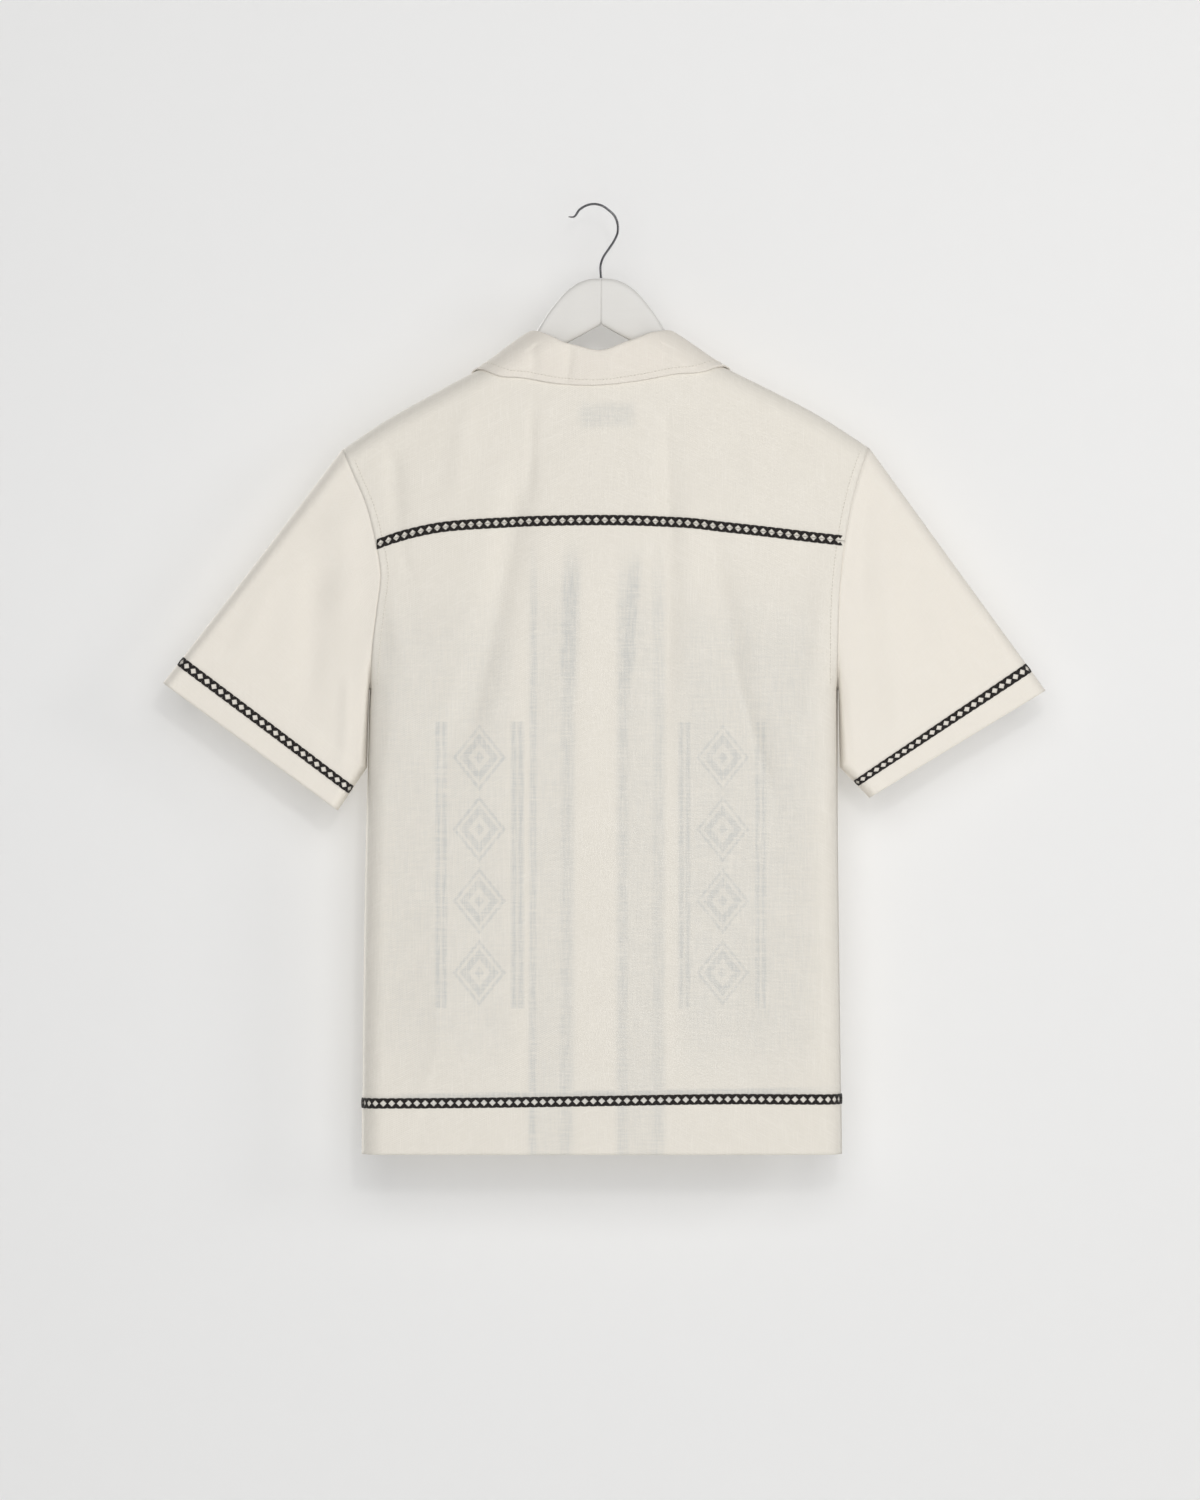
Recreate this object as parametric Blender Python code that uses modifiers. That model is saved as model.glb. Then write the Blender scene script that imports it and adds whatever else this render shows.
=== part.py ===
"""A short-sleeve shirt with an open camp collar, hanging on a wooden hanger.

Every piece that a maker cuts and sews on is its own closed solid, named for what it is.
The back of the shirt faces -Y and the front faces +Y. The origin is the inside of the
hook's top, where a rail carries the hanger. All sizes are in metres.
"""
import math

import bpy
import bmesh
import numpy as np
from mathutils import Vector
from mathutils.bvhtree import BVHTree

# Walls and gaps
CLOTH = 0.0012             # wall of the body cloth
COLLAR_CLOTH = 0.0014      # wall of the stiffened collar
SEAM_GAP = 0.0003          # pieces that touch stay this far apart
SIDE_GAP = 0.0009          # room between back and front where both bend
SHOULDER_GAP = 0.0007      # room between yoke and fronts, over the bend
BRAID_THICKNESS = 0.0010
BRAID_WIDTH = 0.0096
DIAMOND_PITCH = 0.0078     # one diamond of the braid to the next
DIAMOND_LENGTH = 0.0056    # along the braid
DIAMOND_HEIGHT = 0.0054    # across the braid
BRAID_RISE = CLOTH / 2 + SEAM_GAP + BRAID_THICKNESS / 2 + 0.00016
BRAID_SPRING = 0.0005      # the braid stands off where its panel bends at the side
SEARCH = 0.003             # how far off a panel's faces are looked for

# The hanging body: how the cloth rounds over the hanger and at its sides
TOP_RADIUS = 0.019         # bend of the cloth over the hanger's arm
BODY_DEPTH = 0.025         # middle of the shirt to its back, well below the shoulders
SIDE_RADIUS = 0.019        # bend of the cloth at the side seams
DEPTH_FALL = 0.25          # the depth grows over this drop below the ridge
FORWARD = 0.010            # the arms' ends lean this far towards the front
HALF_SPAN = 0.240          # middle to shoulder point
HALF_WIDTH = 0.215         # middle to side seam
UNDERARM_Z = -0.445        # lowest point of the armholes
ARMHOLE_BEND = 0.100       # the armhole rounds in over this height
HEM_Z = -0.8737

# Ridge of the shoulders, with the line it would take across the neck
RIDGE = [
    ("x", "z"),
    (-0.250, -0.2320),
    (-0.200, -0.1985),
    (-0.150, -0.1705),
    (-0.105, -0.1465),
    (-0.078, -0.1315),
    (-0.040, -0.1110),
    (0.000, -0.0960),
    (0.040, -0.1110),
    (0.078, -0.1310),
    (0.105, -0.1445),
    (0.150, -0.1665),
    (0.200, -0.1925),
    (0.260, -0.2310),
]
# Edge of the body seen from behind: armhole seam above, side fold below
LEFT_EDGE = [
    ("z", "x"),
    (-0.8737, -0.2199),
    (-0.7680, -0.2190),
    (-0.6200, -0.2170),
    (-0.5100, -0.2144),
    (-0.4450, -0.2128),
    (-0.4000, -0.2100),
    (-0.3700, -0.2062),
    (-0.3380, -0.2030),
    (-0.3060, -0.2085),
    (-0.2710, -0.2180),
    (-0.2470, -0.2285),
    (-0.2150, -0.2420),
]
RIGHT_EDGE = [
    ("z", "x"),
    (-0.8737, 0.2217),
    (-0.7000, 0.2195),
    (-0.5655, 0.2180),
    (-0.4450, 0.2180),
    (-0.4000, 0.2183),
    (-0.3600, 0.2195),
    (-0.3350, 0.2215),
    (-0.3080, 0.2250),
    (-0.2800, 0.2300),
    (-0.2500, 0.2375),
    (-0.2150, 0.2500),
]
YOKE_SEAM = [
    ("x", "z"),
    (-0.2150, -0.3150),
    (-0.1870, -0.3050),
    (-0.1560, -0.2975),
    (-0.1030, -0.2925),
    (-0.0380, -0.2900),
    (0.0480, -0.2905),
    (0.0850, -0.2925),
    (0.1150, -0.2960),
    (0.1470, -0.2995),
    (0.1850, -0.3040),
    (0.2300, -0.3090),
]
BACK_NECK = [
    ("x", "z"),
    (-0.0775, -0.1313),
    (-0.0700, -0.1385),
    (-0.0510, -0.1490),
    (-0.0300, -0.1560),
    (0.0000, -0.1600),
    (0.0300, -0.1560),
    (0.0510, -0.1490),
    (0.0700, -0.1385),
    (0.0775, -0.1308),
]
HEM_BRAID_Z = [
    ("x", "z"),
    (-0.2200, -0.8265),
    (-0.1000, -0.8255),
    (0.0000, -0.8240),
    (0.1000, -0.8225),
    (0.2220, -0.8228),
]
# Largest soft folds: path at three heights, height of the fold (minus is a trough), width
BACK_FOLDS = [
    ("x_top", "z_top", "x_mid", "z_mid", "x_low", "z_low", "rise", "width"),
    (-0.068, -0.205, -0.081, -0.310, -0.111, -0.470, -0.0030, 0.016),
    (0.063, -0.205, 0.061, -0.330, 0.055, -0.450, -0.0028, 0.015),
    (0.103, -0.305, 0.128, -0.460, 0.153, -0.560, -0.0034, 0.016),
    (-0.192, -0.215, -0.191, -0.250, -0.187, -0.300, -0.0022, 0.009),
    (-0.246, -0.265, -0.248, -0.325, -0.252, -0.400, 0.0032, 0.013),
    (-0.261, -0.310, -0.265, -0.390, -0.262, -0.480, -0.0034, 0.012),
    (0.240, -0.270, 0.243, -0.340, 0.246, -0.420, 0.0030, 0.013),
    (0.257, -0.345, 0.258, -0.420, 0.262, -0.510, -0.0032, 0.012),
    (-0.150, -0.600, -0.140, -0.730, -0.142, -0.860, 0.0022, 0.030),
    (0.120, -0.640, 0.133, -0.760, 0.128, -0.865, -0.0022, 0.028),
]
FRONT_FOLDS = [
    ("x_top", "z_top", "x_mid", "z_mid", "x_low", "z_low", "rise", "width"),
    (-0.150, -0.230, -0.138, -0.400, -0.128, -0.600, -0.0034, 0.018),
    (0.146, -0.225, 0.136, -0.380, 0.140, -0.560, -0.0032, 0.018),
    (-0.085, -0.420, -0.090, -0.600, -0.076, -0.840, 0.0028, 0.024),
    (0.092, -0.450, 0.086, -0.640, 0.098, -0.850, 0.0026, 0.024),
    (-0.190, -0.520, -0.178, -0.680, -0.182, -0.850, -0.0026, 0.018),
    (0.186, -0.540, 0.180, -0.700, 0.172, -0.860, -0.0028, 0.018),
    (-0.256, -0.290, -0.262, -0.380, -0.268, -0.480, -0.0030, 0.013),
    (0.256, -0.290, 0.262, -0.380, 0.268, -0.480, -0.0030, 0.013),
]

# The yoke reaches over the shoulder by this much
YOKE_WRAP = 0.012
# Rows of the yoke's net, as shares of the way from the ridge to the yoke's seam
YOKE_SHARES = (0.0, 0.07, 0.15, 0.24, 0.34, 0.50, 0.74, 1.0)

# Rows of the back's net, as shares of the way from the yoke's seam to the hem
BACK_SHARES = (0.0, 0.035, 0.075, 0.12, 0.17, 0.225, 0.29, 0.38, 0.47, 0.56, 0.65, 0.74, 0.83,
               0.92, 1.0)

# Fronts: left over right, lapels rolled back along straight lines
STAND_WIDTH = 0.015        # the fronts pass the middle by this much
STAND_LIFT = 0.0008        # each front leaves the common surface by this much there
STAND_FADE = 0.080
ROLL_RADIUS = 0.0016       # bend of the cloth at the roll line
COLLAR_SEAM = 0.0006       # the collar starts this far above the neck's edge
BREAK_Z = -0.3320          # the left front starts to roll here
LEFT_BREAK = (-0.0148, BREAK_Z)
HIDDEN_BREAK = (0.0021, -0.2862)   # the right front starts to roll here, under the left one
GORGE_ROLL = (0.0397, -0.1840)     # the gorge seam crosses the roll line here
NOTCH = (0.0800, -0.2000)
LAPEL_TIP = (0.1030, -0.2320)
COLLAR_TIP = (0.1120, -0.2120)
LAPEL_BELLY = 0.006        # the lapel's outer edge swells by this much
NOTCH_SHARE = 0.52         # share of the lapel's top edge that is sewn to the collar
HSP_X = 0.0775             # neck point of the shoulder seam
# Rows of the net from the shoulder to where the roll starts, as shares of that way
ROLL_SHARES = (0.0, 0.04, 0.09, 0.16, 0.26, 0.38, 0.52, 0.68, 0.84, 1.0)
LOWER_ROWS = 9             # rows of the net below
FRONT_NAMES = {-1: "front_left", 1: "front_right"}
LOWER_TOP_Z = -0.360
BEND_SHARES = (0.0, 0.25, 0.5, 0.75, 1.0)
FLAT_SHARES = (0.12, 0.32, 0.52, 0.76, 1.0)

# Sleeves, seen from behind
SLEEVE_SIZES = {
    "left": {
        "side": -1,
        "outer_top": (-0.2368, -0.2247),
        "outer_hem": (-0.4043, -0.4393),
        "inner_knee": (-0.2166, -0.5168),
        "inner_hem": (-0.2436, -0.5566),
    },
    "right": {
        "side": 1,
        "outer_top": (0.2472, -0.2233),
        "outer_hem": (0.4103, -0.4463),
        "inner_knee": (0.2212, -0.5168),
        "inner_hem": (0.2484, -0.5449),
    },
}
KNEE_SHARE = 0.80          # share of the sleeve's length above the knee of its inner edge
SLEEVE_DEPTH_TOP = 0.024
SLEEVE_DEPTH_HEM = 0.014
SLEEVE_EDGE_RADIUS = 0.013
SLEEVE_HEM_Y = 0.012       # the sleeve's hem hangs a little to the front
SLEEVE_BRAID_SHARE = 0.905 # the braid's middle, as a share of the sleeve's length
BRAID_TURN = 0.006         # share of a sleeve's width where the braid leaves its edge
BRAID_INSET = 0.0005       # a cut end of the braid lies this far inside its panel
BRAID_START = 0.0164       # the right front's hem braid starts beside the left front's edge
BRAID_SIDE = 0.0001        # and this far from the fold at the body's sides
ARMHOLE_GAP = 0.0006       # room at the sleeve's seam, where the cloth turns
UNDERARM_TUCK = 0.0019     # the sleeve hangs beside the body's edge here
SLEEVE_ROWS = (0.0, 0.05, 0.13, 0.24, 0.37, 0.50, 0.64, 0.78, 0.90, 1.0)

# Small pieces
LABEL_X = (-0.021, 0.032)
LABEL_Z = (-0.181, -0.205)
LABEL_THICKNESS = 0.0010
BUTTON_RADIUS = 0.0056
BUTTON_THICKNESS = 0.0026
BUTTON_RIM = 0.0012
BUTTON_TOP_Z = -0.345
BUTTON_PITCH = 0.108
BUTTON_COUNT = 5

# Hanger, half of it: x from the middle, top, underside, half of its thickness
HANGER = [
    ("x", "top", "under", "half"),
    (0.00015, -0.0660, -0.1085, 0.0065),
    (0.0130, -0.0672, -0.1158, 0.0066),
    (0.0235, -0.0716, -0.1215, 0.0068),
    (0.0330, -0.0788, -0.1268, 0.0070),
    (0.0415, -0.0885, -0.1316, 0.0073),
    (0.0485, -0.0978, -0.1356, 0.0076),
    (0.0555, -0.1082, -0.1396, 0.0080),
    (0.0600, -0.1152, -0.1420, 0.0083),
    (0.0650, -0.1238, -0.1448, 0.0086),
    (0.0710, -0.1298, -0.1480, 0.0090),
    (0.0800, -0.1352, -0.1530, 0.0096),
]
HANGER_ARM_END = 0.218
HANGER_ARM_HEIGHT_ROOT = 0.0205
HANGER_ARM_HEIGHT_END = 0.0260
HANGER_HALF_END = 0.0140
HANGER_REST = 0.0014       # vertical room between the arm and the cloth's middle surface
HOOK_WIRE = 0.0014
HOOK_POINTS = [
    ("x", "z"),
    (-0.0300, -0.0090),
    (-0.0255, -0.0092),
    (-0.0195, -0.0022),
    (-0.0130, 0.0016),
    (-0.0060, 0.0028),
    (0.0000, 0.0016),
    (0.0070, -0.0028),
    (0.0126, -0.0085),
    (0.0154, -0.0160),
    (0.0152, -0.0240),
    (0.0122, -0.0310),
    (0.0070, -0.0390),
    (0.0022, -0.0462),
    (0.0000, -0.0520),
    (0.0000, -0.0656),
]

# Colours of the finishes: linear red, green, blue
CREAM = (0.83, 0.80, 0.72)
BLACK = (0.012, 0.011, 0.012)
WHITE_PAINT = (0.78, 0.77, 0.74)
STEEL = (0.62, 0.62, 0.63)
SHELL = (0.74, 0.71, 0.64)
QUARTER = math.pi / 2


def smooth(table):
    """Returns a function that runs smoothly through a two-column table."""
    rows = sorted(table[1:])
    keys = np.array([row[0] for row in rows])
    values = np.array([row[1] for row in rows])
    slopes = np.gradient(values, keys)

    def value(key):
        key = min(max(key, keys[0]), keys[-1])
        i = min(int(np.searchsorted(keys, key, side="right")) - 1, len(keys) - 2)
        step = keys[i + 1] - keys[i]
        t = (key - keys[i]) / step
        start = (1 + 2 * t) * (1 - t) ** 2 * values[i] + t * (1 - t) ** 2 * step * slopes[i]
        end = t * t * (3 - 2 * t) * values[i + 1] + t * t * (t - 1) * step * slopes[i + 1]
        return float(start + end)

    return value


nets_built = {}
edges_built = {}
armhole_lines = {}
ridge = smooth(RIDGE)
left_edge = smooth(LEFT_EDGE)
right_edge = smooth(RIGHT_EDGE)
yoke_seam = smooth(YOKE_SEAM)
back_neck = smooth(BACK_NECK)
hem_braid = smooth(HEM_BRAID_Z)


def ease(t):
    """0 to 1 with flat ends."""
    t = min(max(t, 0.0), 1.0)
    return t * t * (3 - 2 * t)


def rounded(t):
    """Height of a quarter circle of radius 1 at t from its foot."""
    t = min(max(t, 0.0), 1.0)
    return math.sqrt(t * (2 - t))


def mix(a, b, t):
    return a + (b - a) * t


def blend(p, q, t):
    """Point between two points given as tuples."""
    return tuple(mix(a, b, t) for a, b in zip(p, q))


def fold_height(x, z, folds):
    """How far the soft folds lift the cloth at a place seen from behind or in front."""
    height = 0.0
    for x_top, z_top, x_mid, z_mid, x_low, z_low, rise, width in folds[1:]:
        if z > z_top or z < z_low:
            continue
        down = (z_top - z) / (z_top - z_low)
        middle = (z_top - z_mid) / (z_top - z_low)
        bow = x_mid - mix(x_top, x_low, middle)
        path = mix(x_top, x_low, down) + bow * down * (1 - down) / (middle * (1 - middle))
        fade = ease(down * 3.5) * ease((1 - down) * 3.0)
        height += rise * fade * math.exp(-((x - path) / width) ** 2)
    return height


def drop_of(along):
    """Height lost between the ridge and a point that lies along the cloth from it."""
    bend = abs(along) / TOP_RADIUS
    if bend < QUARTER:
        return TOP_RADIUS * (1 - math.cos(bend))
    return TOP_RADIUS + abs(along) - TOP_RADIUS * QUARTER


def along_of(drop):
    """Way along the cloth from the ridge to a given drop below it."""
    if drop <= 0:
        return 0.0
    if drop < TOP_RADIUS:
        return TOP_RADIUS * math.acos(1 - drop / TOP_RADIUS)
    return TOP_RADIUS * QUARTER + drop - TOP_RADIUS


def back_at(x, z):
    """Cloth place (x, along) on the back for a place seen from behind."""
    return x, along_of(ridge(x) - z)


def front_at(x, z):
    """Cloth place (x, along) on the front for a place seen from the front."""
    return x, -along_of(ridge(x) - z)


def body_point(x, along):
    """Middle of the body's wall at a cloth place."""
    drop = drop_of(along)
    z = ridge(x) - drop
    depth = mix(TOP_RADIUS, BODY_DEPTH, ease(drop / DEPTH_FALL))
    over_top = math.sin(min(abs(along) / TOP_RADIUS, QUARTER))
    inset = min(x - left_edge(z), right_edge(z) - x)
    armhole = SIDE_RADIUS * max(0.0, (z - UNDERARM_Z) / ARMHOLE_BEND)
    at_side = rounded((max(inset, 0.0) + armhole) / SIDE_RADIUS)
    lean = FORWARD * (x / HALF_SPAN) ** 2 * (1 - 0.6 * ease(drop / 0.4))
    folds = fold_height(x, z, BACK_FOLDS if along > 0 else FRONT_FOLDS)
    reach = (depth + folds * ease(drop / 0.03)) * over_top * at_side
    return Vector((x, lean - math.copysign(reach, along), z))


def outward(x, along):
    """Direction away from the body's hollow at a cloth place."""
    step = 0.0004
    across = body_point(x + step, along) - body_point(x - step, along)
    down = body_point(x, along + step) - body_point(x, along - step)
    return down.cross(across).normalized()


def lifted(x, along, height):
    """Point that lies height above the middle of the body's wall."""
    if abs(height) < 1e-9:
        return body_point(x, along)
    return body_point(x, along) + outward(x, along) * height


def edge_place(side, along, inset=0.0):
    """Cloth place on the body's edge: side is -1 for left and 1 for right."""
    edge = left_edge if side < 0 else right_edge
    x = side * HALF_SPAN
    for _ in range(12):
        x = edge(ridge(x) - drop_of(along)) - side * inset
    return x, along


def cloth_patch(top, bottom, left, right):
    """Cloth places of a patch between four edges, row by row from its top."""
    across = [abs(p[0] - bottom[0][0]) / abs(bottom[-1][0] - bottom[0][0]) for p in bottom]
    rows = []
    for j in range(len(left)):
        w = (left[j][1] - left[0][1]) / (left[-1][1] - left[0][1])
        row = []
        for i in range(len(top)):
            u = across[i]
            place = []
            for k in (0, 1):
                ruled = mix(top[i][k], bottom[i][k], w) + mix(left[j][k], right[j][k], u)
                corners = mix(mix(top[0][k], top[-1][k], u), mix(bottom[0][k], bottom[-1][k], u), w)
                place.append(ruled - corners)
            row.append(tuple(place))
        rows.append(row)
    return rows


def spread(start, end, count):
    """Evenly spaced values from start to end."""
    return [mix(start, end, i / (count - 1)) for i in range(count)]


def side_steps(length, middle, bends=4):
    """Shares across a panel: close together where both sides bend, even between."""
    near = [SIDE_RADIUS * (1 - math.cos(QUARTER * k / bends)) / length for k in range(bends)]
    inner = spread(SIDE_RADIUS / length, 1 - SIDE_RADIUS / length, middle)
    return near + inner + [1 - share for share in reversed(near)]


def material(name, colour, roughness, metallic=0.0):
    """Plain finish of one piece."""
    finish = bpy.data.materials.new(name)
    finish.use_nodes = True
    shader = finish.node_tree.nodes["Principled BSDF"]
    shader.inputs["Base Color"].default_value = (*colour, 1.0)
    shader.inputs["Roughness"].default_value = roughness
    shader.inputs["Metallic"].default_value = metallic
    return finish


def add_object(name, mesh, finish):
    """Puts a finished mesh in the shirt's collection as the named piece."""
    mesh.materials.append(finish)
    mesh.shade_smooth()
    mesh.set_sharp_from_angle(angle=math.radians(35))
    piece = bpy.data.objects.new(name, mesh)
    shirt.objects.link(piece)
    return piece


def loft_faces(bm, rows, closed=False):
    """Adds the faces of a net of points, given row by row."""
    net = [[bm.verts.new(point) for point in row] for row in rows]
    for upper, lower in zip(net, net[1:]):
        count = len(upper)
        for i in range(count if closed else count - 1):
            j = (i + 1) % count
            bm.faces.new((upper[i], lower[i], lower[j], upper[j]))


def cloth_piece(name, nets, finish, wall=CLOTH, closed=False):
    """One cut piece: nets of points on the wall's middle, thickened to a closed wall."""
    bm = bmesh.new()
    for rows in nets:
        loft_faces(bm, rows, closed)
    bmesh.ops.remove_doubles(bm, verts=bm.verts, dist=0.00005)
    bmesh.ops.recalc_face_normals(bm, faces=bm.faces)
    nets_built[name] = BVHTree.FromBMesh(bm)
    mesh = bpy.data.meshes.new(name)
    bm.to_mesh(mesh)
    bm.free()
    piece = add_object(name, mesh, finish)
    thicken = piece.modifiers.new("Wall", "SOLIDIFY")
    thicken.thickness = wall
    thicken.offset = 0.0
    return piece


def laid_on(carriers, base, normal, rise):
    """Point at a height above the flat faces of the panels that carry it."""
    found = 0.0
    for carrier in carriers:
        hit = nets_built[carrier].ray_cast(base + normal * SEARCH, -normal, 2 * SEARCH)[0]
        if hit:
            found = max(found, (hit - base).dot(normal))
    return base + normal * (found + rise)


def place_rows(places, height=0.0):
    """Points on the body for rows of cloth places."""
    return [[lifted(x, along, height) for x, along in row] for row in places]


def keep_edges(name, rows):
    """Remembers a panel's left and right edges, so that its neighbours can follow them."""
    edges_built[name] = ([row[0].copy() for row in rows], [row[-1].copy() for row in rows])


def make_yoke(finish):
    """Yoke: from just in front of the shoulders' ridge down to the seam across the back."""
    right_neck = [place for place in neck_places() if place[1] > -YOKE_WRAP]
    right_neck.append((HSP_X, -YOKE_WRAP))
    left_neck = [(-x, along) for x, along in reversed(right_neck[1:])]
    neck = left_neck + right_neck
    left_corner = edge_place(-1, -YOKE_WRAP)
    right_corner = edge_place(1, -YOKE_WRAP)
    shoulder_left = [blend(left_corner, neck[0], t) for t in spread(0, 1, 5)[:-1]]
    shoulder_right = [blend(neck[-1], right_corner, t) for t in spread(0, 1, 5)[1:]]
    top = shoulder_left + neck + shoulder_right
    seam_left, seam_right = yoke_seam_ends()
    bottom = []
    for t in spread(0, 1, len(top)):
        x = mix(seam_left[0], seam_right[0], t)
        bottom.append(back_at(x, yoke_seam(x)))
    left, right = [], []
    for share in (1.0, 0.5):
        left.append(edge_place(-1, -YOKE_WRAP * share))
        right.append(edge_place(1, -YOKE_WRAP * share))
    for share in YOKE_SHARES:
        left.append(edge_place(-1, seam_left[1] * share))
        right.append(edge_place(1, seam_right[1] * share))
    rows = place_rows(cloth_patch(top, bottom, left, right))
    keep_edges("yoke", rows)
    cloth_piece("yoke", [rows], finish)


def make_back(finish):
    """Back: from the yoke's seam to the hem, and from side seam to side seam."""
    seam_left, seam_right = yoke_seam_ends()
    shares = side_steps(2 * HALF_WIDTH, 15)
    top = []
    for share in shares:
        x = mix(seam_left[0], seam_right[0], share)
        place = back_at(x, yoke_seam(x))
        top.append((x, place[1] + SEAM_GAP))
    hem_left, hem_right = left_edge(HEM_Z), right_edge(HEM_Z)
    bottom = [back_at(mix(hem_left, hem_right, share), HEM_Z) for share in shares]
    left = [edge_place(-1, mix(top[0][1], bottom[0][1], share)) for share in BACK_SHARES]
    right = [edge_place(1, mix(top[-1][1], bottom[-1][1], share)) for share in BACK_SHARES]
    rows = place_rows(cloth_patch(top, bottom, left, right))
    for row in rows:
        row[0].y -= SIDE_GAP / 2
        row[-1].y -= SIDE_GAP / 2
    keep_edges("back", rows)
    cloth_piece("back", [rows], finish)


def stand_lift(side, x):
    """Height of a front above the common surface: the left one laps over the right one."""
    return -side * STAND_LIFT * (1 - ease((abs(x) - STAND_WIDTH) / STAND_FADE))


def front_point(side, x, z, height=0.0):
    """Point on a front, for a place measured from the middle towards the front's own side."""
    place_x, along = front_at(side * x, z)
    return lifted(place_x, along, height + stand_lift(side, place_x))


def front_break(side):
    """Lower end of a front's roll line."""
    return LEFT_BREAK if side < 0 else HIDDEN_BREAK


def front_rows(side):
    """Net of the flat part of a front, from its shoulder seam to its hem."""
    shoulder = edge_place(side, -YOKE_WRAP - SHOULDER_GAP)
    neck_corner = (side * HSP_X, -YOKE_WRAP - SHOULDER_GAP)
    front_neck = [(side * x, along) for x, along in neck_places() if along < -YOKE_WRAP]
    shares = side_steps(HALF_WIDTH + STAND_WIDTH, 8)[:-4] + [1.0]
    steps = len(shares) - len(front_neck)
    top = [blend(shoulder, neck_corner, t) for t in spread(0, 1, steps)] + front_neck
    hem_x = (left_edge if side < 0 else right_edge)(HEM_Z)
    bottom = []
    for share in shares:
        bottom.append(front_at(mix(hem_x, -side * STAND_WIDTH, share), HEM_Z))
    inner = []
    for share in ROLL_SHARES:
        x, z = blend(GORGE_ROLL, front_break(side), share)
        inner.append(front_at(side * x, z))
    for z in spread(LOWER_TOP_Z, HEM_Z, LOWER_ROWS):
        inner.append(front_at(-side * STAND_WIDTH, z))
    outer = []
    side_top = shoulder[1]
    side_break = -along_of(ridge(side * HALF_WIDTH) - BREAK_Z)
    for share in ROLL_SHARES:
        outer.append(edge_place(side, mix(side_top, side_break, share)))
    side_lower = -along_of(ridge(side * HALF_WIDTH) - LOWER_TOP_Z)
    for along in spread(side_lower, bottom[0][1], LOWER_ROWS):
        outer.append(edge_place(side, along))
    places = cloth_patch(top, bottom, outer, inner)
    rows = []
    for row in places:
        points = [lifted(x, along, stand_lift(side, x)) for x, along in row]
        points[0].y += SIDE_GAP / 2
        rows.append(points)
    keep_edges(FRONT_NAMES[side], rows)
    return rows


def lapel_rows(side):
    """Net of a lapel: round the roll line, then back over the front to its outer edge."""
    start = front_break(side)
    rows = []
    for share_down in ROLL_SHARES:
        t = 1 - share_down
        roll = blend(start, GORGE_ROLL, t)
        root = front_point(side, *roll)
        if t == 0:
            rows.append([root] * (len(BEND_SHARES) + len(FLAT_SHARES)))
            continue
        ahead = front_point(side, *blend(start, GORGE_ROLL, t + 0.01))
        normal = outward(*front_at(side * roll[0], roll[1]))
        opening = (ahead - root).cross(normal).normalized()
        if opening.x * side > 0:
            opening = -opening
        row = []
        for share in BEND_SHARES:
            turn = math.pi * share
            rise = ROLL_RADIUS * (1 - math.cos(turn))
            row.append(root + opening * (ROLL_RADIUS * math.sin(turn)) + normal * rise)
        edge = blend(start, LAPEL_TIP, t)
        swell = LAPEL_BELLY * math.sin(math.pi * t)
        edge = (edge[0] + swell, edge[1] - swell / 2)
        for share in FLAT_SHARES:
            place = blend(roll, edge, share)
            if t == 1:
                if share <= NOTCH_SHARE:
                    place = blend(roll, NOTCH, share / NOTCH_SHARE)
                else:
                    place = blend(NOTCH, LAPEL_TIP, (share - NOTCH_SHARE) / (1 - NOTCH_SHARE))
            row.append(front_point(side, place[0], place[1], 2 * ROLL_RADIUS))
        rows.append(row)
    return rows


def make_front(side, finish):
    """Front: shoulder to hem in one piece with its lapel, which is folded back."""
    cloth_piece(FRONT_NAMES[side], [front_rows(side), lapel_rows(side)], finish)


def yoke_seam_ends():
    """Cloth places where the yoke's seam meets the armholes."""
    ends = []
    for side in (-1, 1):
        place = edge_place(side, 0.1)
        for _ in range(8):
            place = edge_place(side, back_at(place[0], yoke_seam(place[0]))[1])
        ends.append(place)
    return ends


def neck_places():
    """Cloth places of the neck's edge, from the middle of the back to the right gorge."""
    back = [back_at(x, back_neck(x)) for x in (0.0, 0.0150, 0.0300, 0.0430, 0.0560, 0.0670, 0.0740)]
    corner = (HSP_X, -YOKE_WRAP - SHOULDER_GAP)
    gorge = front_at(*GORGE_ROLL)
    front = [blend(corner, gorge, t) for t in (0.12, 0.26, 0.42, 0.60, 0.80, 1.0)]
    shoulder = [(HSP_X, along) for along in (0.005, 0.0, -0.006)]
    return back + shoulder + [corner] + front


def collar_stations():
    """Roll line and outer edge of the collar's right half: way round the neck, places, heights."""
    names = ("way", "roll x", "roll along", "edge x", "edge along", "bend", "edge height")
    rows = [names]
    for way, roll, edge, bend, height in (
        (0.00, back_at(0.0000, -0.1360), back_at(0.0000, -0.1660), 0.0017, 0.0028),
        (0.20, back_at(0.0270, -0.1290), back_at(0.0400, -0.1640), 0.0019, 0.0028),
        (0.36, back_at(0.0450, -0.1225), back_at(0.0720, -0.1575), 0.0030, 0.0028),
        (0.50, (0.0565, 0.0190), (0.1020, 0.0190), 0.0050, 0.0034),
        (0.57, (0.0620, 0.0000), (0.1160, 0.0000), 0.0066, 0.0036),
        (0.66, (0.0600, -0.0180), (0.1195, -0.0210), 0.0048, 0.0036),
        (0.82, front_at(0.0510, -0.1550), front_at(0.1185, -0.1880), 0.0026, 0.0034),
        (1.00, front_at(0.0405, -0.1820), front_at(*COLLAR_TIP), 0.0016, 0.0032),
    ):
        rows.append((way, *roll, *edge, bend, height))
    return rows


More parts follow.
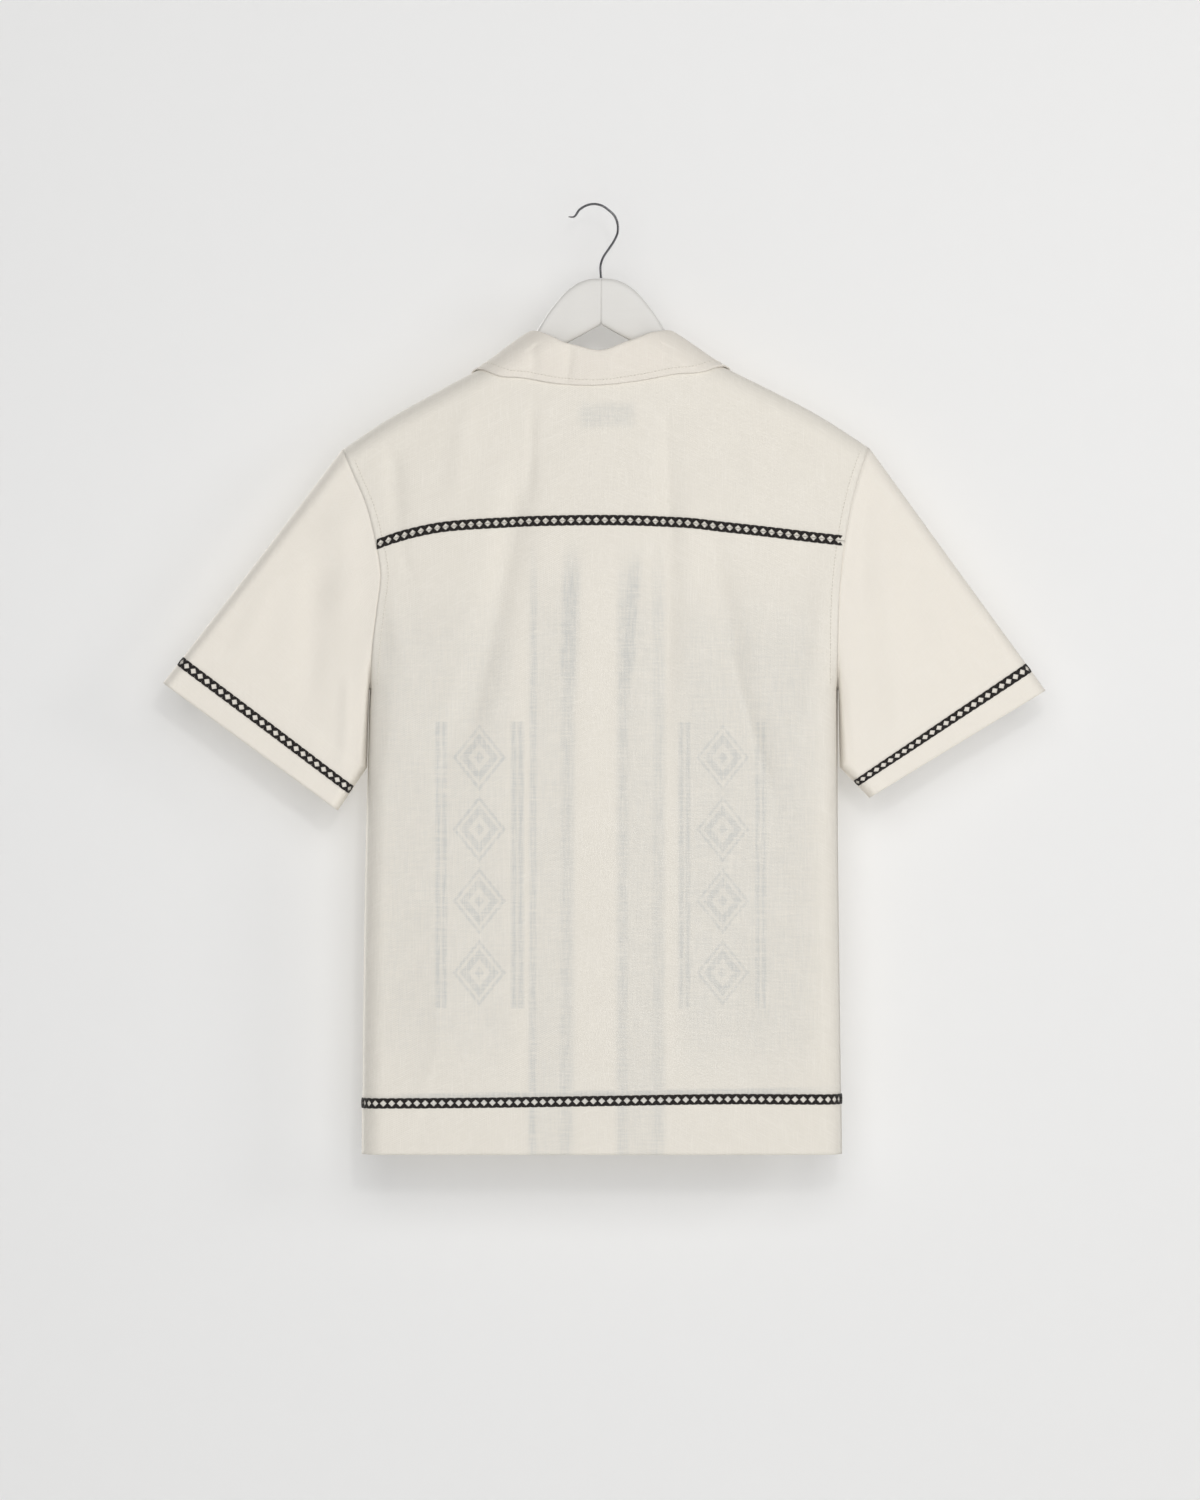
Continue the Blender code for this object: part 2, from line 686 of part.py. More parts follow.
def make_collar(finish):
    """Collar: a stand up from the neck's edge, a bend at the roll line and a leaf outside."""
    stations = collar_stations()
    tracks = []
    for column in range(1, 7):
        pairs = [("way", stations[0][column])]
        pairs += [(row[0], row[column]) for row in stations[1:]]
        tracks.append(smooth(pairs))
    neck = neck_places()
    lengths = [0.0]
    for before, after in zip(neck, neck[1:]):
        lengths.append(lengths[-1] + math.dist(before, after))
    rows = []
    for side in (-1, 1):
        half = []
        for place, length in zip(neck, lengths):
            roll_x, roll_along, edge_x, edge_along, bend, edge_height = (
                track(length / lengths[-1]) for track in tracks)
            roll, edge = (roll_x, roll_along), (edge_x, edge_along)
            way_in = np.subtract(roll, edge) / math.dist(roll, edge)
            seam = blend(place, roll, COLLAR_SEAM / math.dist(place, roll))
            section = []
            for share in (0.0, 0.5, 1.0):
                section.append((*blend(seam, roll, share), (bend - ROLL_RADIUS) * share ** 2))
            for turn in (-0.5, 0.0, 0.5):
                reach = ROLL_RADIUS * math.cos(turn * QUARTER)
                height = bend + ROLL_RADIUS * math.sin(turn * QUARTER)
                section.append((roll[0] + way_in[0] * reach, roll[1] + way_in[1] * reach, height))
            for share in (0.0, 0.3, 0.65, 1.0):
                height = mix(bend + ROLL_RADIUS, edge_height, ease(share))
                section.append((*blend(roll, edge, share), height))
            points = []
            for x, along, height in section:
                lift = stand_lift(side, side * x) * ease(-along / 0.03)
                points.append(lifted(side * x, along, height + lift))
            half.append(points)
        rows += list(reversed(half)) if side < 0 else half[1:]
    cloth_piece("collar", [rows], finish, wall=COLLAR_CLOTH)


def sleeve_edge(sizes, share):
    """Outer and inner ends of a sleeve's section, as (x, z), for a share of its length."""
    outer = blend(sizes["outer_top"], sizes["outer_hem"], share)
    edge = left_edge if sizes["side"] < 0 else right_edge
    underarm = (edge(UNDERARM_Z) + sizes["side"] * UNDERARM_TUCK, UNDERARM_Z)
    if share < KNEE_SHARE:
        return outer, blend(underarm, sizes["inner_knee"], share / KNEE_SHARE)
    return outer, blend(sizes["inner_knee"], sizes["inner_hem"], (share - KNEE_SHARE) / (1 - KNEE_SHARE))


def armhole_line(side, face):
    """The armhole's edge on the body's panels, from the ridge down to the underarm."""
    column = 0 if side < 0 else 1
    yoke = edges_built["yoke"][column]
    ridge_row = len(yoke) - len(YOKE_SHARES)
    if face > 0:
        return yoke[ridge_row:] + edges_built["back"][column]
    return yoke[ridge_row::-1] + edges_built[FRONT_NAMES[side]][0]


def armhole_point(side, face, across):
    """Point of the armhole's edge, for a share of its height from the ridge down."""
    key = (side, face)
    if key not in armhole_lines:
        armhole_lines[key] = armhole_line(side, face)
    points = armhole_lines[key]
    z = mix(points[0].z, UNDERARM_Z, across)
    for before, after in zip(points, points[1:]):
        if after.z <= z:
            share = (before.z - z) / max(before.z - after.z, 1e-9)
            return before.lerp(after, share)
    return points[-1].copy()


def sleeve_point(sizes, face, down, across):
    """Point of a sleeve: face is 1 behind and -1 in front, across runs from outer to inner edge."""
    def section(share):
        outer, inner = sleeve_edge(sizes, share)
        x, z = blend(outer, inner, across)
        width = math.dist(outer, inner)
        rim = rounded(across * width / SLEEVE_EDGE_RADIUS)
        rim *= rounded((1 - across) * width / SLEEVE_EDGE_RADIUS)
        folds = fold_height(x, z, BACK_FOLDS if face > 0 else FRONT_FOLDS)
        depth = mix(SLEEVE_DEPTH_TOP, SLEEVE_DEPTH_HEM, share) + folds
        middle = mix(FORWARD, SLEEVE_HEM_Y, share)
        return Vector((x, middle - face * depth * rim, z))

    side = sizes["side"]
    seam = armhole_point(side, face, across)
    seam.x += side * mix(ARMHOLE_GAP, UNDERARM_TUCK, across ** 2)
    pull = (1 - down) ** 2
    return section(down) + (seam - section(0.0)) * pull


def ring_shares(count):
    """Shares across a flat tube, close together at its two folded edges."""
    return [(1 - math.cos(math.pi * i / count)) / 2 for i in range(count + 1)]


def make_sleeve(name, sizes, finish):
    """Sleeve: a flat tube from the armhole's seam to its open hem."""
    rows = []
    for down in SLEEVE_ROWS:
        behind = [sleeve_point(sizes, 1, down, across) for across in ring_shares(10)]
        before = [sleeve_point(sizes, -1, down, across) for across in ring_shares(10)]
        rows.append(behind + before[-2:0:-1])
    cloth_piece(name, [rows], finish, closed=True)


def braid_piece(name, point_at, length, finish, forked=False):
    """Openwork braid: a flat band with a row of diamonds cut through it."""
    count = round(length / DIAMOND_PITCH)
    pitch = length / count
    slim = DIAMOND_LENGTH / 2
    bm = bmesh.new()

    def vertex(way, across):
        return bm.verts.new(point_at(way, across))

    upper = [vertex(i * pitch, BRAID_WIDTH / 2) for i in range(count + 1)]
    lower = [vertex(i * pitch, -BRAID_WIDTH / 2) for i in range(count + 1)]
    before = None
    for i in range(count):
        middle = (i + 0.5) * pitch
        left, right = vertex(middle - slim, 0), vertex(middle + slim, 0)
        top = vertex(middle, DIAMOND_HEIGHT / 2)
        low = vertex(middle, -DIAMOND_HEIGHT / 2)
        bm.faces.new((upper[i], top, upper[i + 1]))
        bm.faces.new((upper[i], left, top))
        bm.faces.new((top, right, upper[i + 1]))
        bm.faces.new((lower[i], lower[i + 1], low))
        bm.faces.new((lower[i], low, left))
        bm.faces.new((low, lower[i + 1], right))
        if before:
            bm.faces.new((before, left, upper[i]))
            bm.faces.new((before, lower[i], left))
        else:
            bm.faces.new((upper[i], lower[i], left))
        before = right
    if forked:
        notch = vertex(length + pitch / 2 - slim, 0)
        end_top = vertex(length + pitch / 2, BRAID_WIDTH / 2)
        end_low = vertex(length + pitch / 2, -BRAID_WIDTH / 2)
        bm.faces.new((before, notch, upper[-1]))
        bm.faces.new((before, lower[-1], notch))
        bm.faces.new((upper[-1], notch, end_top))
        bm.faces.new((lower[-1], end_low, notch))
    else:
        bm.faces.new((before, lower[-1], upper[-1]))
    mesh = bpy.data.meshes.new(name)
    bm.to_mesh(mesh)
    bm.free()
    piece = add_object(name, mesh, finish)
    thicken = piece.modifiers.new("Wall", "SOLIDIFY")
    thicken.thickness = BRAID_THICKNESS
    thicken.offset = 0.0


def measured_path(centre, samples):
    """Turns places given by a share into places given by a way in metres, and its length."""
    shares = [(1 - math.cos(math.pi * i / samples)) / 2 for i in range(samples + 1)]
    points = [centre(share) for share in shares]
    ways = [0.0]
    for before, after in zip(points, points[1:]):
        ways.append(ways[-1] + (after - before).length)

    def share_at(way):
        return float(np.interp(way, ways, shares))

    return share_at, ways[-1]


def body_braid(name, carriers, ends, height_at, at, lift, finish, forked=False):
    """Braid across the body's panels, along a line given by its height."""
    def point(share, across):
        x = mix(ends[0], ends[1], share)
        z = height_at(x) + across
        place = at(x, z)
        inset = min(x - left_edge(z), right_edge(z) - x)
        rise = BRAID_RISE
        if z < UNDERARM_Z:
            rise += BRAID_SPRING * (1 - ease(inset / SIDE_RADIUS - 0.5))
        return laid_on(carriers, lifted(*place, lift(x)), outward(*place), rise)

    share_at, length = measured_path(lambda share: point(share, 0.0), 60)
    if forked:
        length -= DIAMOND_PITCH / 2
    braid_piece(name, lambda way, across: point(share_at(way), across), length, finish, forked)


def sleeve_braid(name, carrier, sizes, face, finish):
    """Braid round one face of a sleeve, from its outer edge to its inner edge."""
    outer, inner = sleeve_edge(sizes, 0.0), sleeve_edge(sizes, 1.0)
    length_down = math.dist(outer[0], inner[0])   # shoulder point to hem

    def point(share, across):
        down = SLEEVE_BRAID_SHARE - across / length_down
        start = sleeve_point(sizes, face, down, share)
        step = 0.002
        along = sleeve_point(sizes, face, down, min(share + step, 1)) - sleeve_point(
            sizes, face, down, max(share - step, 0))
        slope = sleeve_point(sizes, face, down + step, share) - sleeve_point(
            sizes, face, down - step, share)
        normal = along.cross(slope).normalized()
        if normal.y * face > 0:
            normal = -normal
        return laid_on([carrier], start, normal, BRAID_RISE)

    share_at, length = measured_path(
        lambda share: point(mix(BRAID_TURN, 1 - BRAID_TURN, share), 0.0), 60)
    braid_piece(name, lambda way, across: point(
        mix(BRAID_TURN, 1 - BRAID_TURN, share_at(way)), across), length, finish)


def make_braids(finish):
    """All the black braid: over the yoke's seam, round the hem and round both sleeves."""
    def flat(x):
        return 0.0

    def lift_left(x):
        return stand_lift(-1, x)

    def lift_right(x):
        return stand_lift(1, x)

    seam_left, seam_right = yoke_seam_ends()
    ends = (seam_left[0] + BRAID_INSET, seam_right[0] - BRAID_INSET)
    body_braid("braid_yoke", ["yoke", "back"], ends, yoke_seam, back_at, flat, finish, True)
    left = left_edge(hem_braid(-HALF_SPAN)) + BRAID_SIDE
    right = right_edge(hem_braid(HALF_SPAN)) - BRAID_SIDE
    stand = STAND_WIDTH - BRAID_INSET
    body_braid("braid_hem_back", ["back"], (left, right), hem_braid, back_at, flat, finish)
    body_braid("braid_hem_front_left", ["front_left"], (left, stand), hem_braid, front_at,
               lift_left, finish)
    body_braid("braid_hem_front_right", ["front_right"], (BRAID_START, right), hem_braid,
               front_at, lift_right, finish)
    for name, sizes in SLEEVE_SIZES.items():
        carrier = f"sleeve_{name}"
        sleeve_braid(f"braid_{carrier}_back", carrier, sizes, 1, finish)
        sleeve_braid(f"braid_{carrier}_front", carrier, sizes, -1, finish)


def make_label(finish):
    """Blank woven label inside the yoke."""
    rows = []
    inside = -(CLOTH / 2 + SEAM_GAP + LABEL_THICKNESS / 2)
    for z in spread(LABEL_Z[0], LABEL_Z[1], 4):
        rows.append([back_at(x, z) for x in spread(LABEL_X[0], LABEL_X[1], 6)])
    cloth_piece("neck_label", [place_rows(rows, inside)], finish, wall=LABEL_THICKNESS)


def make_button(name, z, finish):
    """Round button on the left front: a turned profile with a raised rim."""
    base = front_point(-1, 0.0, z)
    normal = outward(*front_at(0.0, z))
    start = CLOTH / 2 + SEAM_GAP
    outline = (
        (0.0, BUTTON_THICKNESS - 0.0008),
        (BUTTON_RADIUS - BUTTON_RIM - 0.0006, BUTTON_THICKNESS - 0.0008),
        (BUTTON_RADIUS - BUTTON_RIM, BUTTON_THICKNESS),
        (BUTTON_RADIUS - 0.0004, BUTTON_THICKNESS - 0.0002),
        (BUTTON_RADIUS, BUTTON_THICKNESS / 2),
        (BUTTON_RADIUS - 0.0010, 0.0),
        (0.0, 0.0),
    )
    mesh = bpy.data.meshes.new(name)
    mesh.from_pydata([(r, 0.0, h) for r, h in outline],
                     [(i, i + 1) for i in range(len(outline) - 1)], [])
    piece = add_object(name, mesh, finish)
    turn = piece.modifiers.new("Turn", "SCREW")
    turn.axis = "Z"
    turn.steps = 12
    turn.render_steps = 12
    turn.use_merge_vertices = True
    turn.merge_threshold = 0.00001
    piece.location = base + normal * start
    piece.rotation_euler = normal.to_track_quat("Z", "Y").to_euler()


def make_hanger_half(name, side, finish):
    """One wooden half of the hanger: it swells towards the end under the shoulder."""
    stations = []
    last_x, last_top, last_under, last_half = HANGER[-1]
    for x, top, under, half in HANGER[1:]:
        stations.append((x, top, under, half))
    for t in (0.16, 0.34, 0.52, 0.70, 0.86, 0.95, 1.0):
        x = mix(last_x, HANGER_ARM_END, t)
        top = ridge(side * x) - HANGER_REST
        height = mix(HANGER_ARM_HEIGHT_ROOT, HANGER_ARM_HEIGHT_END, t)
        half = mix(last_half, HANGER_HALF_END, t)
        if t > 0.9:
            shrink = 0.90 if t < 1 else 0.62
            drop = height * (1 - shrink) / 2
            top, height, half = top - drop, height * shrink, half * shrink
        stations.append((x, top, top - height, half))
    bm = bmesh.new()
    rings = []
    for x, top, under, half in stations:
        lean = body_point(side * x, 0.0).y if x > 0.05 else FORWARD * (x / HALF_SPAN) ** 2
        centre, reach = (top + under) / 2, (top - under) / 2
        square = mix(0.6, 1.0, ease((x - 0.05) / 0.02))
        ring = []
        for i in range(12):
            angle = math.tau * i / 12
            c, s = math.cos(angle), math.sin(angle)
            y = lean + half * math.copysign(abs(c) ** square, c)
            z = centre + reach * math.copysign(abs(s) ** square, s)
            ring.append(bm.verts.new((side * x, y, z)))
        rings.append(ring)
    for before, after in zip(rings, rings[1:]):
        for i in range(12):
            j = (i + 1) % 12
            bm.faces.new((before[i], before[j], after[j], after[i]))
    bm.faces.new(rings[0])
    bm.faces.new(list(reversed(rings[-1])))
    bmesh.ops.recalc_face_normals(bm, faces=bm.faces)
    mesh = bpy.data.meshes.new(name)
    bm.to_mesh(mesh)
    bm.free()
    add_object(name, mesh, finish)


def make_hook(finish):
    """Wire hook, down to the hanger's top."""
    curve = bpy.data.curves.new("hook", "CURVE")
    curve.dimensions = "3D"
    curve.bevel_depth = HOOK_WIRE
    curve.bevel_resolution = 2
    curve.use_fill_caps = True
    line = curve.splines.new("POLY")
    points = HOOK_POINTS[1:]
    line.points.add(len(points) - 1)
    for point, (x, z) in zip(line.points, points):
        point.co = (x, 0.0, z, 1.0)
    curve.materials.append(finish)
    shirt.objects.link(bpy.data.objects.new("hook", curve))


def make_pieces():
    """Builds every piece of the shirt and its hanger."""
    cloth = material("cream cloth", CREAM, 0.85)
    braid = material("black braid", BLACK, 0.8)
    paint = material("white paint", WHITE_PAINT, 0.45)
    steel = material("polished steel", STEEL, 0.15, 1.0)
    shell = material("pale shell", SHELL, 0.3)
    label = material("label cloth", CREAM, 0.7)
    make_yoke(cloth)
    make_back(cloth)
    make_front(-1, cloth)
    make_front(1, cloth)
    make_collar(cloth)
    for name, sizes in SLEEVE_SIZES.items():
        make_sleeve(f"sleeve_{name}", sizes, cloth)
    make_braids(braid)
    make_label(label)
    for i in range(BUTTON_COUNT):
        make_button(f"button_{i + 1}", BUTTON_TOP_Z - i * BUTTON_PITCH, shell)
    make_hanger_half("hanger_left", -1, paint)
    make_hanger_half("hanger_right", 1, paint)
    make_hook(steel)


for old in list(bpy.data.objects):
    bpy.data.objects.remove(old, do_unlink=True)
shirt = bpy.data.collections.new("short sleeve shirt")
bpy.context.scene.collection.children.link(shirt)
make_pieces()
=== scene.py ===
# %% [markdown]
# # A short-sleeve shirt on its hanger, seen from behind
#
# The shirt is cut from off-white slubby cotton. It has a rolled camp collar, a yoke, wide short
# sleeves and a black openwork braid on its seams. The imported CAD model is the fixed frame: its
# solids say where each piece lies. Every cloth piece here is a fine thin shell on the form of its
# solid, because cloth needs many more points than a solid to show soft folds.

# %% Load the frame
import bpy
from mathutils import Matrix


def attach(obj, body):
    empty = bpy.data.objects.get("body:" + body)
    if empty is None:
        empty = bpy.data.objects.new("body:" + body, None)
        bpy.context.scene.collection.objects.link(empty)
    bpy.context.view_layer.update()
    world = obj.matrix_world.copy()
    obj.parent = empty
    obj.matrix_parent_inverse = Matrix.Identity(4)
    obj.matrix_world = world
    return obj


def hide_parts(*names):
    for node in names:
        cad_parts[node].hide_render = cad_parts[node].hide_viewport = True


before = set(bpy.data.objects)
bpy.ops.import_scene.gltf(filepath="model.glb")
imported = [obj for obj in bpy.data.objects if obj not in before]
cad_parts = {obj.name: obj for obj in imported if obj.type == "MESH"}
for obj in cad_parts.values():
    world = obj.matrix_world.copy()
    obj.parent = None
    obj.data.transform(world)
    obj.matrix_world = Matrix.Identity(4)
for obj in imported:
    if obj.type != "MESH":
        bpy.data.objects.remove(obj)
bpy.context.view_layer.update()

import math

import bpy
import bmesh
import numpy as np
from mathutils import Vector

# %% [markdown]
# ## Curves through a few measured points
#
# A shirt has long calm edges. Each is kept as a short table of places, and a smooth curve runs
# through them. The same could be drawn as a Bezier curve, but a function of height or width is
# easier to ask for a value anywhere, for thousands of points at once.

# %% Helpers for smooth values
QUARTER = math.pi / 2


def smooth(table):
    """Returns a function that runs smoothly through (key, value) rows; it takes arrays."""
    keys, values = np.array(sorted(table), float).T
    slopes = np.gradient(values, keys)

    def value(key):
        key = np.clip(key, keys[0], keys[-1])
        i = np.clip(np.searchsorted(keys, key, side="right") - 1, 0, len(keys) - 2)
        step = keys[i + 1] - keys[i]
        t = (key - keys[i]) / step
        start = (1 + 2 * t) * (1 - t) ** 2 * values[i] + t * (1 - t) ** 2 * step * slopes[i]
        end = t * t * (3 - 2 * t) * values[i + 1] + t * t * (t - 1) * step * slopes[i + 1]
        return start + end

    return value


def ease(t):
    """0 to 1 with flat ends."""
    t = np.clip(t, 0.0, 1.0)
    return t * t * (3 - 2 * t)


def rounded(t):
    """Height of a quarter circle of radius 1 at t from its foot."""
    t = np.clip(t, 0.0, 1.0)
    return np.sqrt(t * (2 - t))


def mix(a, b, t):
    """The value a share t of the way from a to b."""
    return a + (b - a) * t


def between(p, q, t):
    """Places on the straight way from p to q, one row for each share in t."""
    return np.asarray(p, float) + np.subtract(q, p) * np.asarray(t, float)[..., None]


def ways_along(points):
    """How far along a line of points each of them lies, in metres."""
    return np.concatenate(([0], np.linalg.norm(np.diff(points, axis=0), axis=1).cumsum()))


def spaced(points, count):
    """The same line with evenly spaced points."""
    points = np.asarray(points, float)
    ways = ways_along(points)
    spots = np.linspace(0, ways[-1], count)
    return np.stack([np.interp(spots, ways, points[:, k]) for k in range(points.shape[1])], 1)


# %% The shirt's outline, in metres from the inside of the hook's top
ridge = smooth([(-0.250, -0.2320), (-0.200, -0.1985), (-0.150, -0.1705), (-0.105, -0.1465),
                (-0.078, -0.1315), (-0.040, -0.1110), (0.000, -0.0960), (0.040, -0.1110),
                (0.078, -0.1310), (0.105, -0.1445), (0.150, -0.1665), (0.200, -0.1925),
                (0.260, -0.2310)])
left_edge = smooth([(-0.8737, -0.2199), (-0.7680, -0.2190), (-0.6200, -0.2170),
                    (-0.5100, -0.2144), (-0.4450, -0.2128), (-0.4000, -0.2100),
                    (-0.3700, -0.2062), (-0.3380, -0.2030), (-0.3060, -0.2085),
                    (-0.2710, -0.2180), (-0.2470, -0.2285), (-0.2150, -0.2420)])
right_edge = smooth([(-0.8737, 0.2217), (-0.7000, 0.2195), (-0.5655, 0.2180),
                     (-0.4450, 0.2180), (-0.4000, 0.2183), (-0.3600, 0.2195),
                     (-0.3350, 0.2215), (-0.3080, 0.2250), (-0.2800, 0.2300),
                     (-0.2500, 0.2375), (-0.2150, 0.2500)])
yoke_seam = smooth([(-0.2150, -0.3150), (-0.1870, -0.3050), (-0.1560, -0.2975),
                    (-0.1030, -0.2925), (-0.0380, -0.2900), (0.0480, -0.2905),
                    (0.0850, -0.2925), (0.1150, -0.2960), (0.1470, -0.2995),
                    (0.1850, -0.3040), (0.2300, -0.3090)])
back_neck = smooth([(-0.0775, -0.1313), (-0.0700, -0.1385), (-0.0510, -0.1490),
                    (-0.0300, -0.1560), (0.0000, -0.1600), (0.0300, -0.1560),
                    (0.0510, -0.1490), (0.0700, -0.1385), (0.0775, -0.1308)])
hem_braid = smooth([(-0.2200, -0.8265), (-0.1000, -0.8255), (0.0000, -0.8240),
                    (0.1000, -0.8225), (0.2220, -0.8228)])
HEM_Z = -0.8737
UNDERARM_Z = -0.445


def side_edge(side, z):
    """x of the body's edge at a height: side is -1 for left and 1 for right."""
    return (left_edge if side < 0 else right_edge)(z)


print("shirt length below the hook:", -HEM_Z)

# %% [markdown]
# ## Soft folds and creases
#
# Cotton on a hanger makes a few long shallow folds from the shoulder blades and the
# armholes, and many faint dents between them. The long ones could come from a cloth simulation,
# but a simulation gives other folds than the real shirt shows. So each is listed: a path with a
# bend, a height and a width, all uneven. The faint dents are a sum of a few slow waves.

# %% Tables of folds: path at three heights (x, z each), height of the fold, width
BACK_FOLDS = [
    (-0.066, -0.185, -0.096, -0.365, -0.146, -0.565, -0.0055, 0.014),
    (0.062, -0.185, 0.062, -0.340, 0.053, -0.540, -0.0044, 0.012),
    (0.098, -0.265, 0.130, -0.455, 0.176, -0.605, -0.0060, 0.015),
    (0.188, -0.295, 0.182, -0.370, 0.188, -0.450, -0.0024, 0.018),
    (-0.192, -0.215, -0.191, -0.250, -0.187, -0.310, -0.0030, 0.009),
    (-0.204, -0.345, -0.202, -0.430, -0.206, -0.545, -0.0030, 0.009),
    (-0.246, -0.265, -0.248, -0.325, -0.252, -0.400, 0.0032, 0.013),
    (-0.268, -0.310, -0.272, -0.390, -0.268, -0.480, -0.0024, 0.013),
    (0.250, -0.250, 0.249, -0.310, 0.248, -0.380, -0.0028, 0.009),
    (0.266, -0.320, 0.272, -0.420, 0.276, -0.520, 0.0034, 0.014),
    (-0.150, -0.600, -0.140, -0.730, -0.142, -0.860, 0.0022, 0.030),
    (0.120, -0.640, 0.133, -0.760, 0.128, -0.865, -0.0022, 0.028),
]
FRONT_FOLDS = [
    (-0.150, -0.230, -0.138, -0.400, -0.128, -0.600, -0.0034, 0.018),
    (0.146, -0.225, 0.136, -0.380, 0.140, -0.560, -0.0032, 0.018),
    (-0.085, -0.420, -0.090, -0.600, -0.076, -0.840, 0.0028, 0.024),
    (0.092, -0.450, 0.086, -0.640, 0.098, -0.850, 0.0026, 0.024),
    (-0.190, -0.520, -0.178, -0.680, -0.182, -0.850, -0.0026, 0.018),
    (0.186, -0.540, 0.180, -0.700, 0.172, -0.860, -0.0028, 0.018),
    (-0.256, -0.290, -0.262, -0.380, -0.268, -0.480, -0.0030, 0.013),
    (0.256, -0.290, 0.262, -0.380, 0.268, -0.480, -0.0030, 0.013),
]
# Finer creases that the solids leave out: they are under two millimetres high
BACK_CREASES = [
    (-0.178, -0.860, -0.152, -0.775, -0.150, -0.700, 0.0011, 0.007),
    (-0.150, -0.780, -0.160, -0.830, -0.176, -0.868, -0.0009, 0.006),
    (0.170, -0.790, 0.183, -0.840, 0.192, -0.868, 0.0010, 0.007),
    (0.150, -0.560, 0.166, -0.610, 0.170, -0.690, -0.0010, 0.008),
    (-0.186, -0.300, -0.181, -0.325, -0.172, -0.352, -0.0012, 0.005),
    (-0.196, -0.330, -0.186, -0.400, -0.160, -0.480, 0.0012, 0.009),
    (0.205, -0.330, 0.196, -0.420, 0.176, -0.520, 0.0012, 0.009),
    (-0.020, -0.300, -0.014, -0.420, -0.022, -0.560, 0.0010, 0.013),
    (0.018, -0.310, 0.012, -0.480, 0.020, -0.640, -0.0008, 0.012),
    (-0.062, -0.168, -0.064, -0.220, -0.067, -0.285, -0.0016, 0.005),
    (0.059, -0.168, 0.060, -0.225, 0.061, -0.330, -0.0014, 0.005),
    (-0.120, -0.170, -0.128, -0.215, -0.133, -0.285, 0.0016, 0.010),
    (-0.112, -0.395, -0.136, -0.480, -0.150, -0.560, -0.0014, 0.006),
    (0.112, -0.385, 0.134, -0.470, 0.160, -0.545, -0.0015, 0.006),
    (0.128, -0.172, 0.138, -0.220, 0.140, -0.290, 0.0011, 0.010),
    (-0.300, -0.330, -0.318, -0.375, -0.340, -0.430, 0.0012, 0.010),
    (-0.240, -0.420, -0.236, -0.470, -0.240, -0.530, 0.0013, 0.006),
    (0.300, -0.330, 0.312, -0.385, 0.330, -0.440, 0.0012, 0.010),
    (0.336, -0.345, 0.352, -0.385, 0.372, -0.430, -0.0010, 0.009),
    (0.234, -0.430, 0.233, -0.480, 0.240, -0.530, 0.0013, 0.006),
]
FRONT_CREASES = [
    (-0.182, -0.250, -0.176, -0.300, -0.168, -0.350, 0.0012, 0.008),
    (0.184, -0.255, 0.176, -0.310, 0.170, -0.370, 0.0011, 0.008),
    (-0.192, -0.400, -0.160, -0.450, -0.130, -0.520, -0.0012, 0.010),
    (0.190, -0.410, 0.166, -0.470, 0.140, -0.540, -0.0011, 0.009),
    (-0.060, -0.560, -0.050, -0.680, -0.058, -0.800, -0.0010, 0.012),
    (0.050, -0.590, 0.058, -0.700, 0.052, -0.830, 0.0010, 0.011),
    (-0.300, -0.330, -0.316, -0.380, -0.336, -0.430, 0.0012, 0.010),
    (0.300, -0.330, 0.316, -0.380, 0.336, -0.430, 0.0012, 0.010),
    (-0.128, -0.700, -0.120, -0.780, -0.126, -0.865, 0.0011, 0.013),
    (0.136, -0.720, 0.130, -0.790, 0.140, -0.865, 0.0010, 0.012),
]

# How quickly a fold grows below its top and fades above its foot
FOLD_GROWTH = 3.5
FOLD_FADING = 3.0
DENT_HEIGHT = 0.00022


def fold_height(x, z, folds):
    """How far the folds lift the cloth at places seen from behind or in front."""
    height = np.zeros(np.broadcast(x, z).shape)
    for x_top, z_top, x_mid, z_mid, x_low, z_low, rise, width in folds:
        if z_low > z_top:
            x_top, z_top, x_low, z_low = x_low, z_low, x_top, z_top
        down = np.clip((z_top - z) / (z_top - z_low), 0, 1)
        middle = (z_top - z_mid) / (z_top - z_low)
        bow = x_mid - mix(x_top, x_low, middle)
        path = mix(x_top, x_low, down) + bow * down * (1 - down) / (middle * (1 - middle))
        fade_out = ease(down * FOLD_GROWTH) * ease((1 - down) * FOLD_FADING)
        height = height + rise * fade_out * np.exp(-((x - path) / width) ** 2)
    return height


def dents(x, z, face):
    """Faint uneven dents all over, a few tenths of a millimetre."""
    # The waves' numbers only have to be uneven, so that nothing repeats. Each face has its own turn.
    turn = 1.7 * face
    waves = np.sin(x * 41 + 3 * np.sin(z * 17 + turn)) * np.sin(z * 29 - x * 13 + turn)
    waves = waves + 0.6 * np.sin(x * 83 - z * 37 + 2 * np.sin(x * 31 + turn))
    waves = waves + 0.5 * np.sin(z * 97 + 2 * np.sin(x * 53 - turn) + x * 24)
    return DENT_HEIGHT * waves


print("folds laid by hand:", len(BACK_FOLDS + BACK_CREASES), "behind,",
      len(FRONT_FOLDS + FRONT_CREASES), "in front")

# %% [markdown]
# ## The form of the hanging body
#
# One surface carries the whole shirt. A place on it is given as x and the way along the cloth
# from the shoulders' ridge: plus runs down the back, minus down the front. Laying all pieces on
# one surface keeps the collar, braid and stitches exactly on the cloth below them. Modelling each
# piece alone would let them drift into one another.

